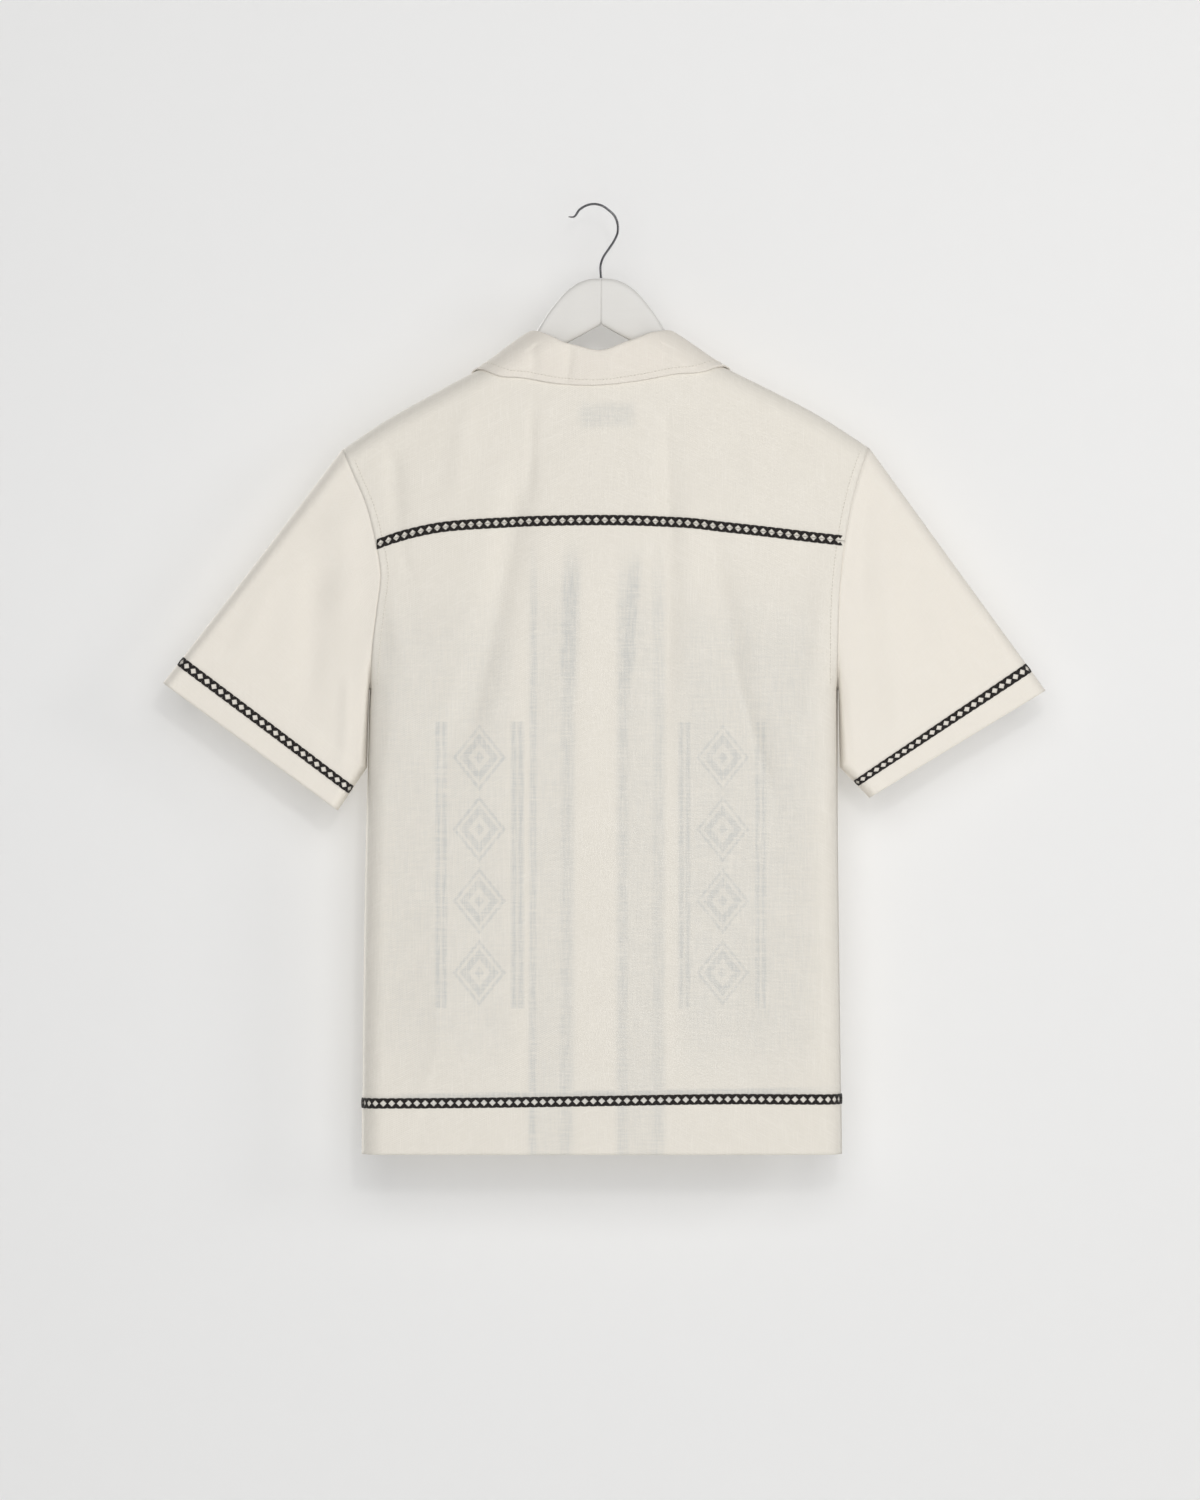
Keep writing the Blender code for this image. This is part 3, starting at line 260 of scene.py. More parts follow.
# %% The body's surface
CLOTH = 0.0012        # thickness of the cloth
SEAM_GAP = 0.0003     # air between two pieces that lie on each other
TOP_RADIUS = 0.019    # bend over the hanger's arms
SIDE_RADIUS = 0.019   # bend at the sides
BODY_DEPTH = 0.025    # half the depth of the body once it has fallen by DEPTH_FALL
DEPTH_FALL = 0.25
HALF_SPAN = 0.240     # from the middle to a shoulder's end
HALF_WIDTH = 0.215    # from the middle to a side seam
ARMHOLE_BEND = 0.100  # height over which the side bend opens into the armhole
FORWARD = 0.010       # how far a shoulder's end leans forward
LEAN_LOST = 0.6       # share of that lean which is gone once the cloth has fallen by LEAN_FALL
LEAN_FALL = 0.4
FOLD_FALL = 0.03      # folds have their full height this far below the ridge


def drop_of(along):
    """Height lost between the ridge and a place that lies along the cloth from it."""
    way = np.abs(along)
    over = TOP_RADIUS * (1 - np.cos(np.minimum(way / TOP_RADIUS, QUARTER)))
    return over + np.maximum(way - TOP_RADIUS * QUARTER, 0)


def along_of(drop):
    """Way along the cloth from the ridge to a drop below it."""
    drop = np.maximum(drop, 0)
    over = TOP_RADIUS * np.arccos(np.clip(1 - drop / TOP_RADIUS, 0, 1))
    return over + np.maximum(drop - TOP_RADIUS, 0)


def body_point(x, along):
    """Middle of the body's wall at cloth places."""
    x, along = np.broadcast_arrays(np.asarray(x, float), np.asarray(along, float))
    drop = drop_of(along)
    z = ridge(x) - drop
    depth = mix(TOP_RADIUS, BODY_DEPTH, ease(drop / DEPTH_FALL))
    over_top = np.sin(np.minimum(np.abs(along) / TOP_RADIUS, QUARTER))
    inset = np.minimum(x - left_edge(z), right_edge(z) - x)
    armhole = SIDE_RADIUS * np.maximum(0, (z - UNDERARM_Z) / ARMHOLE_BEND)
    at_side = rounded((np.maximum(inset, 0) + armhole) / SIDE_RADIUS)
    lean = FORWARD * (x / HALF_SPAN) ** 2 * (1 - LEAN_LOST * ease(drop / LEAN_FALL))
    behind = fold_height(x, z, BACK_FOLDS + BACK_CREASES) + dents(x, z, 1)
    before = fold_height(x, z, FRONT_FOLDS + FRONT_CREASES) + dents(x, z, -1)
    folds = np.where(along > 0, behind, before) * ease(drop / FOLD_FALL)
    reach = (depth + folds) * over_top * at_side
    return np.stack((x, lean - np.sign(along) * reach, z), -1)


def unit(vectors):
    """The same directions with length 1."""
    return vectors / np.maximum(np.linalg.norm(vectors, axis=-1, keepdims=True), 1e-12)


def outward(x, along):
    """Direction away from the body's hollow at cloth places."""
    step = 0.0006
    across = body_point(x + step, along) - body_point(x - step, along)
    down = body_point(x, along + step) - body_point(x, along - step)
    return unit(np.cross(down, across))


def lifted(x, along, height):
    """Points that lie a height above the middle of the body's wall."""
    x, along, height = np.broadcast_arrays(x, along, height)
    return body_point(x, along) + outward(x, along) * height[..., None]


def back_at(x, z):
    """Cloth places on the back for places seen from behind."""
    return np.stack(np.broadcast_arrays(x, along_of(ridge(x) - z)), -1)


def front_at(x, z):
    """Cloth places on the front for places seen from the front."""
    return np.stack(np.broadcast_arrays(x, -along_of(ridge(x) - z)), -1)


def edge_place(side, along):
    """Cloth places on the body's edge: side is -1 for left and 1 for right."""
    x = np.full(np.shape(along), side * HALF_SPAN)
    # The edge's x depends on the height and the height on x: a few rounds settle both
    for _ in range(12):
        x = side_edge(side, ridge(x) - drop_of(along))
    return np.stack(np.broadcast_arrays(x, along), -1)


print("shoulder point, left:", body_point(*edge_place(-1, 0.0)).round(4))

# %% [markdown]
# ## From a net of points to cloth
#
# Each panel is a net: rows and columns of points with a cloth coordinate at each, in metres, kept
# as its UV map. The weave is drawn from that map, so the threads run with the panel as they do in
# a cut piece. Solidify then gives the net its thickness. A flat grid bent with a lattice would be
# another way, but it wouldn't follow curved armholes.

# %% Nets and meshes
MERGE_DISTANCE = 0.00004
DISSOLVE_DISTANCE = 0.00002
visual_pieces = {}


def cloth_patch(top, bottom, left, right):
    """Cloth places of a patch between four edges, row by row from its top."""
    top, bottom, left, right = (np.asarray(edge, float) for edge in (top, bottom, left, right))
    u = np.abs(bottom[:, 0] - bottom[0, 0]) / abs(bottom[-1, 0] - bottom[0, 0])
    w = (left[:, 1] - left[0, 1]) / (left[-1, 1] - left[0, 1])
    u, w = u[None, :, None], w[:, None, None]
    # Both ways of ruling together count the corners twice, so these are taken off once
    ruled = mix(top[None], bottom[None], w) + mix(left[:, None], right[:, None], u)
    corners = mix(mix(top[0], top[-1], u), mix(bottom[0], bottom[-1], u), w)
    return ruled - corners


def side_shares(count, length):
    """Shares across a panel, closer together where its sides bend."""
    # A sine pulls the even shares towards both ends
    t = np.linspace(0, 1, count)
    bend = 1.2 * SIDE_RADIUS / length
    return t - bend * np.sin(math.tau * t) / math.tau * 4


def net_faces(rows, columns, closed, start=0):
    """Faces of a net whose points are numbered row by row."""
    i = np.arange(rows - 1)[:, None] * columns + start
    j = np.arange(columns if closed else columns - 1)[None]
    k = (j + 1) % columns
    return np.stack(np.broadcast_arrays(i + j, i + columns + j, i + columns + k, i + k),
                    -1).reshape(-1, 4)


def net_mesh(name, nets, maps, closed=False):
    """Mesh of one or more nets, with each net's cloth coordinates as its UV map."""
    points, faces, flat = [], [], []
    for net, chart in zip(nets, maps):
        faces.append(net_faces(net.shape[0], net.shape[1], closed, len(points)))
        points.extend(net.reshape(-1, 3).tolist())
        flat.append(chart.reshape(-1, 2))
    faces = np.concatenate(faces)
    mesh = bpy.data.meshes.new(name)
    mesh.from_pydata(points, [], faces.tolist())
    layer = mesh.uv_layers.new(name="cloth")
    layer.data.foreach_set("uv", np.concatenate(flat)[faces.reshape(-1)].reshape(-1))
    bm = bmesh.new()
    bm.from_mesh(mesh)
    bmesh.ops.remove_doubles(bm, verts=bm.verts, dist=MERGE_DISTANCE)
    bmesh.ops.dissolve_degenerate(bm, edges=bm.edges, dist=DISSOLVE_DISTANCE)
    bm.to_mesh(mesh)
    bm.free()
    mesh.shade_smooth()
    return mesh


def face_outward(mesh):
    """Turns all faces of a closed mesh outward."""
    bm = bmesh.new()
    bm.from_mesh(mesh)
    bmesh.ops.recalc_face_normals(bm, faces=bm.faces)
    bm.to_mesh(mesh)
    bm.free()


def tube_mesh(name, net):
    """Mesh of a tube, given as rings of points, with both ends closed."""
    rings, around = net.shape[:2]
    faces = net_faces(rings, around, True).tolist()
    faces += [list(range(around)), list(range((rings - 1) * around, rings * around))]
    mesh = bpy.data.meshes.new(name)
    mesh.from_pydata(net.reshape(-1, 3).tolist(), [], faces)
    face_outward(mesh)
    mesh.shade_smooth()
    return mesh


def add_piece(name, mesh, finish, stands_for=()):
    """Puts a mesh in the scene, riding on the shirt, in place of its solids."""
    piece = bpy.data.objects.new(name, mesh)
    bpy.context.scene.collection.objects.link(piece)
    mesh.materials.append(finish)
    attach(piece, "root")
    if stands_for:
        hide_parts(*stands_for)
    visual_pieces[name] = piece
    return piece


def thicken(piece, wall):
    """Gives a net its wall, half to each side."""
    solid = piece.modifiers.new("Wall", "SOLIDIFY")
    solid.thickness = wall
    solid.offset = 0.0
    solid.use_quality_normals = True


def cut_size(nets, closed):
    """Width and length of the flat cloth that the nets were cut from."""
    width, length = 0.0, 0.0
    for net in nets:
        ring = np.concatenate((net, net[:, :1]), 1) if closed else net
        width += np.linalg.norm(np.diff(ring, axis=1), axis=-1).sum(1).max()
        length = max(length, np.linalg.norm(np.diff(net, axis=0), axis=-1).sum(0).max())
    return round(width, 3), round(length, 3)


def cloth_piece(name, node, nets, maps, finish, wall=CLOTH, closed=False):
    """One cut piece of cloth; prints the size it was cut to."""
    piece = add_piece(name, net_mesh(name, nets, maps, closed), finish, (node,))
    area = sum(face.area for face in piece.data.polygons)
    flat = cut_size(nets, closed)
    thicken(piece, wall)
    area = round(min(area, flat[0] * flat[1]), 4)
    print(f"{name}: cut {flat[0] * 1000:.0f} x {flat[1] * 1000:.0f} mm, {area:.3f} square metres,",
          len(piece.data.polygons), "faces")
    return piece


# %% [markdown]
# ## Cloth that looks woven
#
# The shirt's cotton has uneven threads: some are thicker, called slubs, and show as short soft
# streaks in both directions. An image of cloth would do, but a small group of noise and wave
# nodes works at any size and never repeats. The group gives a colour and a height, and each
# material puts them into its own shader.

# %% Helpers for shader nodes
def feed(tree, node, inputs):
    """Sets a node's inputs, given by name or number; a value may be another node's output."""
    for key, value in inputs.items():
        if isinstance(value, bpy.types.NodeSocket):
            tree.links.new(value, node.inputs[key])
        elif value is not None:
            node.inputs[key].default_value = value


def add_node(tree, kind, inputs):
    """Adds a node and feeds its inputs."""
    node = tree.nodes.new(kind)
    feed(tree, node, inputs)
    return node


def math_node(tree, operation, first, second=None, third=None, clamp=False):
    """Adds a Math node; values may be numbers or outputs."""
    node = tree.nodes.new("ShaderNodeMath")
    node.operation = operation
    node.use_clamp = clamp
    feed(tree, node, {0: first, 1: second, 2: third})
    return node.outputs[0]


def times(tree, first, second, clamp=False):
    """One value times another."""
    return math_node(tree, "MULTIPLY", first, second, clamp=clamp)


def apart(tree, first, second):
    """How far apart two values are."""
    return math_node(tree, "ABSOLUTE", math_node(tree, "SUBTRACT", first, second))


def fade(tree, value, start, end):
    """1 up to start, then softly down to 0 at end; both may be numbers or outputs."""
    node = tree.nodes.new("ShaderNodeMapRange")
    node.interpolation_type = "SMOOTHSTEP"
    feed(tree, node, {"Value": value, "From Min": start, "From Max": end, "To Min": 1.0,
                      "To Max": 0.0})
    return node.outputs["Result"]


def mix_colour(tree, factor, first, second):
    """Mixes two colours; each may be a colour or an output."""
    node = tree.nodes.new("ShaderNodeMix")
    node.data_type = "RGBA"
    feed(tree, node, {0: factor, 6: first, 7: second})
    return node.outputs[2]


def noise(tree, place, scale, detail=2.0, rough=0.5):
    """Adds a Noise node at a place and returns its value."""
    return add_node(tree, "ShaderNodeTexNoise", {
        "Vector": place, "Scale": scale, "Detail": detail, "Roughness": rough}).outputs["Fac"]


def stretched(tree, place, scale):
    """A place scaled differently along each axis."""
    return add_node(tree, "ShaderNodeMapping", {"Vector": place, "Scale": scale}).outputs["Vector"]


def object_place(tree):
    """The place on the piece, in metres."""
    return tree.nodes.new("ShaderNodeTexCoord").outputs["Object"]


def split(tree, place):
    """The x, y and z of a place."""
    return list(add_node(tree, "ShaderNodeSeparateXYZ", {0: place}).outputs)


def add_bump(tree, shader, height, strength, distance):
    """Gives a shader fine relief from a height."""
    bump = add_node(tree, "ShaderNodeBump",
                    {"Height": height, "Strength": strength, "Distance": distance})
    feed(tree, shader, {"Normal": bump.outputs[0]})


def new_group(name, inputs, outputs):
    """A shader node group with named sockets, and its input and output nodes."""
    group = bpy.data.node_groups.new(name, "ShaderNodeTree")
    for label, kind, value in inputs:
        socket = group.interface.new_socket(name=label, in_out="INPUT", socket_type=kind)
        if value is not None:
            socket.default_value = value
    for label, kind in outputs:
        group.interface.new_socket(name=label, in_out="OUTPUT", socket_type=kind)
    return group, group.nodes.new("NodeGroupInput"), group.nodes.new("NodeGroupOutput")


def add_group(tree, group, inputs):
    """Places a node group in a tree, feeds its inputs and returns its outputs."""
    node = tree.nodes.new("ShaderNodeGroup")
    node.node_tree = group
    feed(tree, node, inputs)
    return node.outputs


# %% The slub weave group
THREADS_PER_METRE = 1100.0
# Streaks per metre along x, y and z of the cloth: long down it, then long across it
WARP_STREAKS = (720.0, 40.0, 1.0)
WEFT_STREAKS = (36.0, 740.0, 1.0)
SLUB_CONTRAST = 3.2
SLUB_OFFSET = -1.55
BLOTCH_SCALE = 26.0
BLOTCH_TONE = 0.45
SLUB_RELIEF = 1.5
THREAD_RELIEF = 0.35


def make_weave_group():
    """Slubby plain weave: a colour and a height from cloth coordinates in metres."""
    group, given, result = new_group(
        "Slub weave",
        [("Cloth", "NodeSocketVector", None), ("Colour", "NodeSocketColor", (0.8, 0.8, 0.8, 1)),
         ("Slub colour", "NodeSocketColor", (0.7, 0.7, 0.7, 1)),
         ("Slub amount", "NodeSocketFloat", 0.5),
         ("Threads per metre", "NodeSocketFloat", THREADS_PER_METRE)],
        [("Colour", "NodeSocketColor"), ("Height", "NodeSocketFloat")])
    cloth = given.outputs["Cloth"]
    warp = noise(group, stretched(group, cloth, WARP_STREAKS), 1.0, 3.0, 0.6)
    weft = noise(group, stretched(group, cloth, WEFT_STREAKS), 1.0, 3.0, 0.6)
    streaks = math_node(group, "MAXIMUM", warp, weft)
    slubs = math_node(group, "MULTIPLY_ADD", streaks, SLUB_CONTRAST, SLUB_OFFSET, clamp=True)
    blotches = noise(group, cloth, BLOTCH_SCALE, 3.0, 0.55)
    amount = times(group, slubs, given.outputs["Slub amount"])
    soft = times(group, math_node(group, "SUBTRACT", blotches, 0.5), BLOTCH_TONE)
    factor = math_node(group, "ADD", amount, soft, clamp=True)
    colour = mix_colour(group, factor, given.outputs["Colour"], given.outputs["Slub colour"])
    across, down, _ = split(group, cloth)
    turns = times(group, given.outputs["Threads per metre"], math.pi)
    over = math_node(group, "SINE", times(group, across, turns))
    under = math_node(group, "SINE", times(group, down, turns))
    threads = times(group, over, under)
    height = math_node(group, "MULTIPLY_ADD", streaks, SLUB_RELIEF,
                       times(group, threads, THREAD_RELIEF))
    feed(group, result, {"Colour": colour, "Height": height})
    return group


weave = make_weave_group()
print("group:", weave.name, "with", len(weave.nodes), "nodes")

# %% [markdown]
# ## What shows through the thin cloth
#
# Light cotton lets darker things behind it show as faint grey shapes: the doubled cloth where the
# fronts overlap, the label, the braid on the front's hem and the stitched pattern on the front.
# True translucency would need very long renders to look clean. So the shapes are painted shade
# in the cloth's colour: soft grey bands at fixed places give the same shapes and stay under
# control, and fine streaks break them up as the weave would. Two broad bands paint a wider grey
# shade on either side of the middle. The front uses the pattern group at full strength for its
# embroidery, so both sides agree.

# %% The front's stitched pattern, as a group
LOZENGE_X = 0.112
LOZENGE_TOP = -0.475
LOZENGE_PITCH = 0.066
LOZENGE_COUNT = 4
LOZENGE_SLIMNESS = 1.25
# Size of each ring of a lozenge and half its width beyond the group's own line
LOZENGE_RINGS = [(0.0285, 0.0), (0.0175, 0.0026), (0.0, 0.0035)]
SIDE_LINES = [(0.032, 0.0), (0.038, 0.0)]


def make_pattern_group():
    """A column of lozenges on each front between two lines; the mask is 1 on the threads."""
    group, given, result = new_group(
        "Lozenge column",
        [("Place", "NodeSocketVector", None), ("Line", "NodeSocketFloat", 0.0011),
         ("Edge", "NodeSocketFloat", 0.0013)],
        [("Mask", "NodeSocketFloat")])
    x, _, z = split(group, given.outputs["Place"])
    aside = apart(group, math_node(group, "ABSOLUTE", x), LOZENGE_X)
    down = math_node(group, "SUBTRACT", LOZENGE_TOP, z)
    cell = math_node(group, "FRACT", math_node(group, "DIVIDE", down, LOZENGE_PITCH))
    upright = times(group, apart(group, cell, 0.5), LOZENGE_PITCH)
    spread = math_node(group, "ADD", times(group, aside, LOZENGE_SLIMNESS), upright)
    lines = []
    for distance, table in ((spread, LOZENGE_RINGS), (aside, SIDE_LINES)):
        for size, half in table:
            off = apart(group, distance, size)
            lines.append(fade(group, off, math_node(group, "ADD", given.outputs["Line"], half),
                              math_node(group, "ADD", given.outputs["Edge"], half)))
    threads = lines[0]
    for line in lines[1:]:
        threads = math_node(group, "MAXIMUM", threads, line)
    half = LOZENGE_PITCH * LOZENGE_COUNT / 2
    inside = fade(group, apart(group, down, half), half - 0.001, half + 0.001)
    feed(group, result, {"Mask": times(group, threads, inside)})
    return group


pattern = make_pattern_group()
print("lozenges on each front:", LOZENGE_COUNT)

# %% Bands of painted shade for what lies behind the back
# Soft bands of painted shade for what lies behind the cloth: both ends (x, z), half width,
# soft edge, how dark
SHADE_BANDS = [
    (-0.0460, -0.312, -0.0460, -0.940, 0.0130, 0.0150, 0.26),
    (0.0370, -0.312, 0.0370, -0.940, 0.0110, 0.0140, 0.28),
    (-0.0616, -0.300, -0.0630, -0.940, 0.0010, 0.0052, 0.62),
    (-0.0304, -0.305, -0.0330, -0.940, 0.0020, 0.0090, 0.54),
    (0.0212, -0.305, 0.0200, -0.940, 0.0016, 0.0080, 0.56),
    (0.0525, -0.300, 0.0520, -0.940, 0.0020, 0.0085, 0.50),
    (-0.0265, -0.308, -0.0320, -0.475, 0.0026, 0.0100, 0.72),
    (0.0320, -0.312, 0.0205, -0.475, 0.0022, 0.0095, 0.72),
    (-0.1430, -0.330, -0.1430, -0.830, 0.0430, 0.0340, 0.26),
    (0.1350, -0.330, 0.1350, -0.830, 0.0450, 0.0340, 0.33),
    (-0.2300, -0.8238, 0.2300, -0.8160, 0.0036, 0.0034, 0.66),
]
# A band fades over the last part of its length, and ends a little beyond its table's ends
END_FADE = 0.09
END_FADE_SHARE = 0.3
END_REACH = 0.008


def band_mask(tree, x, z, band):
    """Mask of one straight soft band of painted shade."""
    x0, z0, x1, z1, half, soft, strength = band
    length = math.hypot(x1 - x0, z1 - z0)
    ux, uz = (x1 - x0) / length, (z1 - z0) / length
    near_x = math_node(tree, "SUBTRACT", x, (x0 + x1) / 2)
    near_z = math_node(tree, "SUBTRACT", z, (z0 + z1) / 2)
    way = math_node(tree, "ABSOLUTE", math_node(
        tree, "ADD", times(tree, near_x, ux), times(tree, near_z, uz)))
    off = apart(tree, times(tree, near_x, uz), times(tree, near_z, ux))
    fade_start = length / 2 - min(END_FADE, END_FADE_SHARE * length)
    mask = times(tree, fade(tree, off, half, half + soft),
                 fade(tree, way, fade_start, length / 2 + END_REACH))
    return times(tree, mask, strength)


print("bands that show through:", len(SHADE_BANDS))

# %% Painted shade of the bands, the label and the pattern behind the back, as a group
# The middle of the label that is sewn in further down, and where its shape fades each way
LABEL_MIDDLE = (0.0055, -0.193)
LABEL_FADE_X = (0.0190, 0.0310)
LABEL_FADE_Z = (0.0050, 0.0160)
# Strength of the label's painted shade
LABEL_SHADE = 0.42
BLURRED_EDGE = 0.0054
# Strength of the pattern's painted shade
PATTERN_SHADE = 0.74
# Streaks per metre that break the shapes up, along x, y and z
STREAKS_DOWN = (520.0, 1.0, 42.0)
STREAKS_ACROSS = (38.0, 1.0, 540.0)
STREAK_CONTRAST = 2.6
STREAK_OFFSET = -1.6
STREAK_LEAST = 0.25


def make_shade_behind_group():
    """Painted shade of all that shows through the back, from 0 to 1, on its outer face."""
    group, given, result = new_group(
        "Shapes behind", [("Place", "NodeSocketVector", None)], [("Mask", "NodeSocketFloat")])
    place = given.outputs["Place"]
    x, y, z = split(group, place)
    total = None
    for band in SHADE_BANDS:
        mask = band_mask(group, x, z, band)
        total = mask if total is None else math_node(group, "MAXIMUM", total, mask)
    # The label's painted shade: a soft patch where it is sewn in behind the yoke
    label = times(group, fade(group, apart(group, x, LABEL_MIDDLE[0]), *LABEL_FADE_X),
                  fade(group, apart(group, z, LABEL_MIDDLE[1]), *LABEL_FADE_Z))
    total = math_node(group, "MAXIMUM", total, times(group, label, LABEL_SHADE))
    threads = add_group(group, pattern, {"Place": place, "Line": 0.0, "Edge": BLURRED_EDGE})["Mask"]
    total = math_node(group, "MAXIMUM", total, times(group, threads, PATTERN_SHADE))
    down = noise(group, stretched(group, place, STREAKS_DOWN), 1.0, 3.0, 0.6)
    across = noise(group, stretched(group, place, STREAKS_ACROSS), 1.0, 3.0, 0.6)
    streaks = math_node(group, "MULTIPLY_ADD", math_node(group, "ADD", down, across),
                        STREAK_CONTRAST, STREAK_OFFSET)
    streaks = math_node(group, "MAXIMUM", streaks, STREAK_LEAST)
    total = times(group, total, streaks, clamp=True)
    outer = math_node(group, "LESS_THAN", y, 0.0)
    feed(group, result, {"Mask": times(group, total, outer)})
    return group


behind = make_shade_behind_group()
print("group:", behind.name, "with", len(behind.nodes), "nodes")

# %% Cloth materials
CREAM = (0.765, 0.728, 0.657, 1)
CREAM_SLUB = (0.830, 0.795, 0.728, 1)
# Painted light: the sleeves are the same cotton, painted a little lighter
SLEEVE_LIT_CREAM = (0.812, 0.768, 0.694, 1)
# Painted shade: the collar is the same cotton, painted a little darker
COLLAR_SHADED_CREAM = (0.764, 0.718, 0.648, 1)
# Grey of the painted shade of what shows through the back
PAINTED_SHADE_GREY = (0.480, 0.500, 0.500, 1)
THREAD_BLACK = (0.014, 0.012, 0.012, 1)
# Strength of that painted show-through shade
SHOWN_SHADE_AMOUNT = 0.55
STITCH_RELIEF = 1.2


def new_material(name):
    """A new material and its parts: tree and Principled shader."""
    finish = bpy.data.materials.new(name)
    finish.use_nodes = True
    return finish, finish.node_tree, finish.node_tree.nodes["Principled BSDF"]


def add_weave(tree, colour, slub_colour, slub_amount, threads=THREADS_PER_METRE):
    """Colour and height of the weave, drawn on the cloth's UV map."""
    chart = tree.nodes.new("ShaderNodeUVMap")
    chart.uv_map = "cloth"
    woven = add_group(tree, weave, {
        "Cloth": chart.outputs[0], "Colour": colour, "Slub colour": slub_colour,
        "Slub amount": slub_amount, "Threads per metre": threads})
    return woven["Colour"], woven["Height"]


def add_mask(tree, group):
    """Mask of a group at each place on the piece."""
    return add_group(tree, group, {"Place": object_place(tree)})["Mask"]


def add_stitching(tree, base, height):
    """Colour and height of a front with the stitched pattern on its outer face."""
    _, y, _ = split(tree, object_place(tree))
    mask = times(tree, add_mask(tree, pattern), math_node(tree, "GREATER_THAN", y, 0.0))
    raised = math_node(tree, "ADD", height, times(tree, mask, STITCH_RELIEF))
    return mix_colour(tree, mask, base, THREAD_BLACK), raised


def make_cloth(name, colour, pattern_kind=None, slub=0.8):
    """Slubby cotton. pattern_kind is "behind" for the back, which gets painted shade of what
    shows through it, and "stitched" for the fronts.
    """
    finish, tree, shader = new_material(name)
    base, height = add_weave(tree, colour, CREAM_SLUB, slub)
    if pattern_kind == "behind":
        # Painted shade: grey shapes of what lies behind the cloth are mixed into its colour
        mask = times(tree, add_mask(tree, behind), SHOWN_SHADE_AMOUNT)
        base = mix_colour(tree, mask, base, PAINTED_SHADE_GREY)
    elif pattern_kind == "stitched":
        base, height = add_stitching(tree, base, height)
    add_bump(tree, shader, height, 0.35, 0.0004)
    feed(tree, shader, {"Base Color": base, "Roughness": 0.9, "Specular IOR Level": 0.2,
                        "Sheen Weight": 0.12, "Sheen Roughness": 0.5})
    return finish


body_cloth = make_cloth("body cotton", CREAM, "behind")
front_cloth = make_cloth("front cotton", CREAM, "stitched")
sleeve_cloth = make_cloth("sleeve cotton", SLEEVE_LIT_CREAM)
collar_cloth = make_cloth("collar cotton", COLLAR_SHADED_CREAM, slub=0.6)
print("cloth materials:", body_cloth.name, front_cloth.name, sleeve_cloth.name, collar_cloth.name)

# %% [markdown]
# ## Yoke and back
#
# The yoke covers the shoulder blades and reaches just over the shoulders' ridge. The back hangs
# from its seam to the hem. Both are patches between four edges on the body's surface. The hem
# is turned up and doubled, which the material can't show alone, so the net has a small step.

# %% Yoke
YOKE_WRAP = 0.012               # how far the yoke reaches over the ridge
SHOULDER_GAP = 0.0007
NECK_X = 0.0775                 # where the neck meets the shoulder
GORGE_ROLL = (0.0397, -0.1840)  # where the lapel's roll line meets the collar


def seam_end(side):
    """Cloth place where the yoke's seam meets an armhole."""
    place = edge_place(side, 0.1)
    # The seam's height depends on x and the edge's x on the height
    for _ in range(8):
        place = edge_place(side, back_at(place[0], yoke_seam(place[0]))[1])
    return place


def neck_line(count):
    """Right half of the neck's edge: middle of the back, over the shoulder, to the gorge."""
    x = np.array((0.0, 0.0150, 0.0300, 0.0430, 0.0560, 0.0670, 0.0740))
    corner = np.array((NECK_X, -YOKE_WRAP - SHOULDER_GAP))
    shoulder = [(NECK_X, along) for along in (0.005, 0.0, -0.006)]
    front = between(corner, front_at(*GORGE_ROLL), (0.12, 0.26, 0.42, 0.60, 0.80, 1.0))
    return spaced(np.concatenate((back_at(x, back_neck(x)), shoulder, corner[None], front)), count)


def make_yoke():
    """Net of the yoke, from just in front of the ridge to its seam."""
    neck = neck_line(121)
    half = [place for place in neck if place[1] > -YOKE_WRAP] + [np.array((NECK_X, -YOKE_WRAP))]
    neck = spaced([(-x, along) for x, along in reversed(half[1:])] + half, 71)
    corners = [edge_place(side, -YOKE_WRAP) for side in (-1, 1)]
    top = np.concatenate((between(corners[0], neck[0], np.linspace(0, 1, 51)[:-1]), neck,
                          between(neck[-1], corners[1], np.linspace(0, 1, 51)[1:])))
    ends = seam_end(-1), seam_end(1)
    x = np.linspace(ends[0][0], ends[1][0], len(top))
    bottom = back_at(x, yoke_seam(x))
    # The rows lie closer together over the ridge, where the cloth bends
    shares = np.concatenate((np.linspace(-YOKE_WRAP, 0, 9)[:-1] / ends[0][1],
                             np.linspace(0, 0.16, 13)[:-1], np.linspace(0.16, 1, 52)))
    left = edge_place(-1, shares * ends[0][1])
    right = edge_place(1, np.where(shares < 0, shares * ends[0][1], shares * ends[1][1]))
    return cloth_patch(top, bottom, left, right)


yoke_places = make_yoke()
cloth_piece("yoke_cloth", "yoke", [body_point(yoke_places[..., 0], yoke_places[..., 1])],
            [yoke_places], body_cloth)

# %% Back
SIDE_GAP = 0.0009
HEM_TURN = 0.050
HEM_PROUD = 0.0003
HEM_SLOPE = 0.0015


def with_hem(places, net):
    """The net with its doubled hem, which stands a little prouder than the cloth above it."""
    rise = HEM_PROUD * ease((HEM_Z + HEM_TURN - net[..., 2]) / HEM_SLOPE + 0.5)
    return net + outward(places[..., 0], places[..., 1]) * rise[..., None]


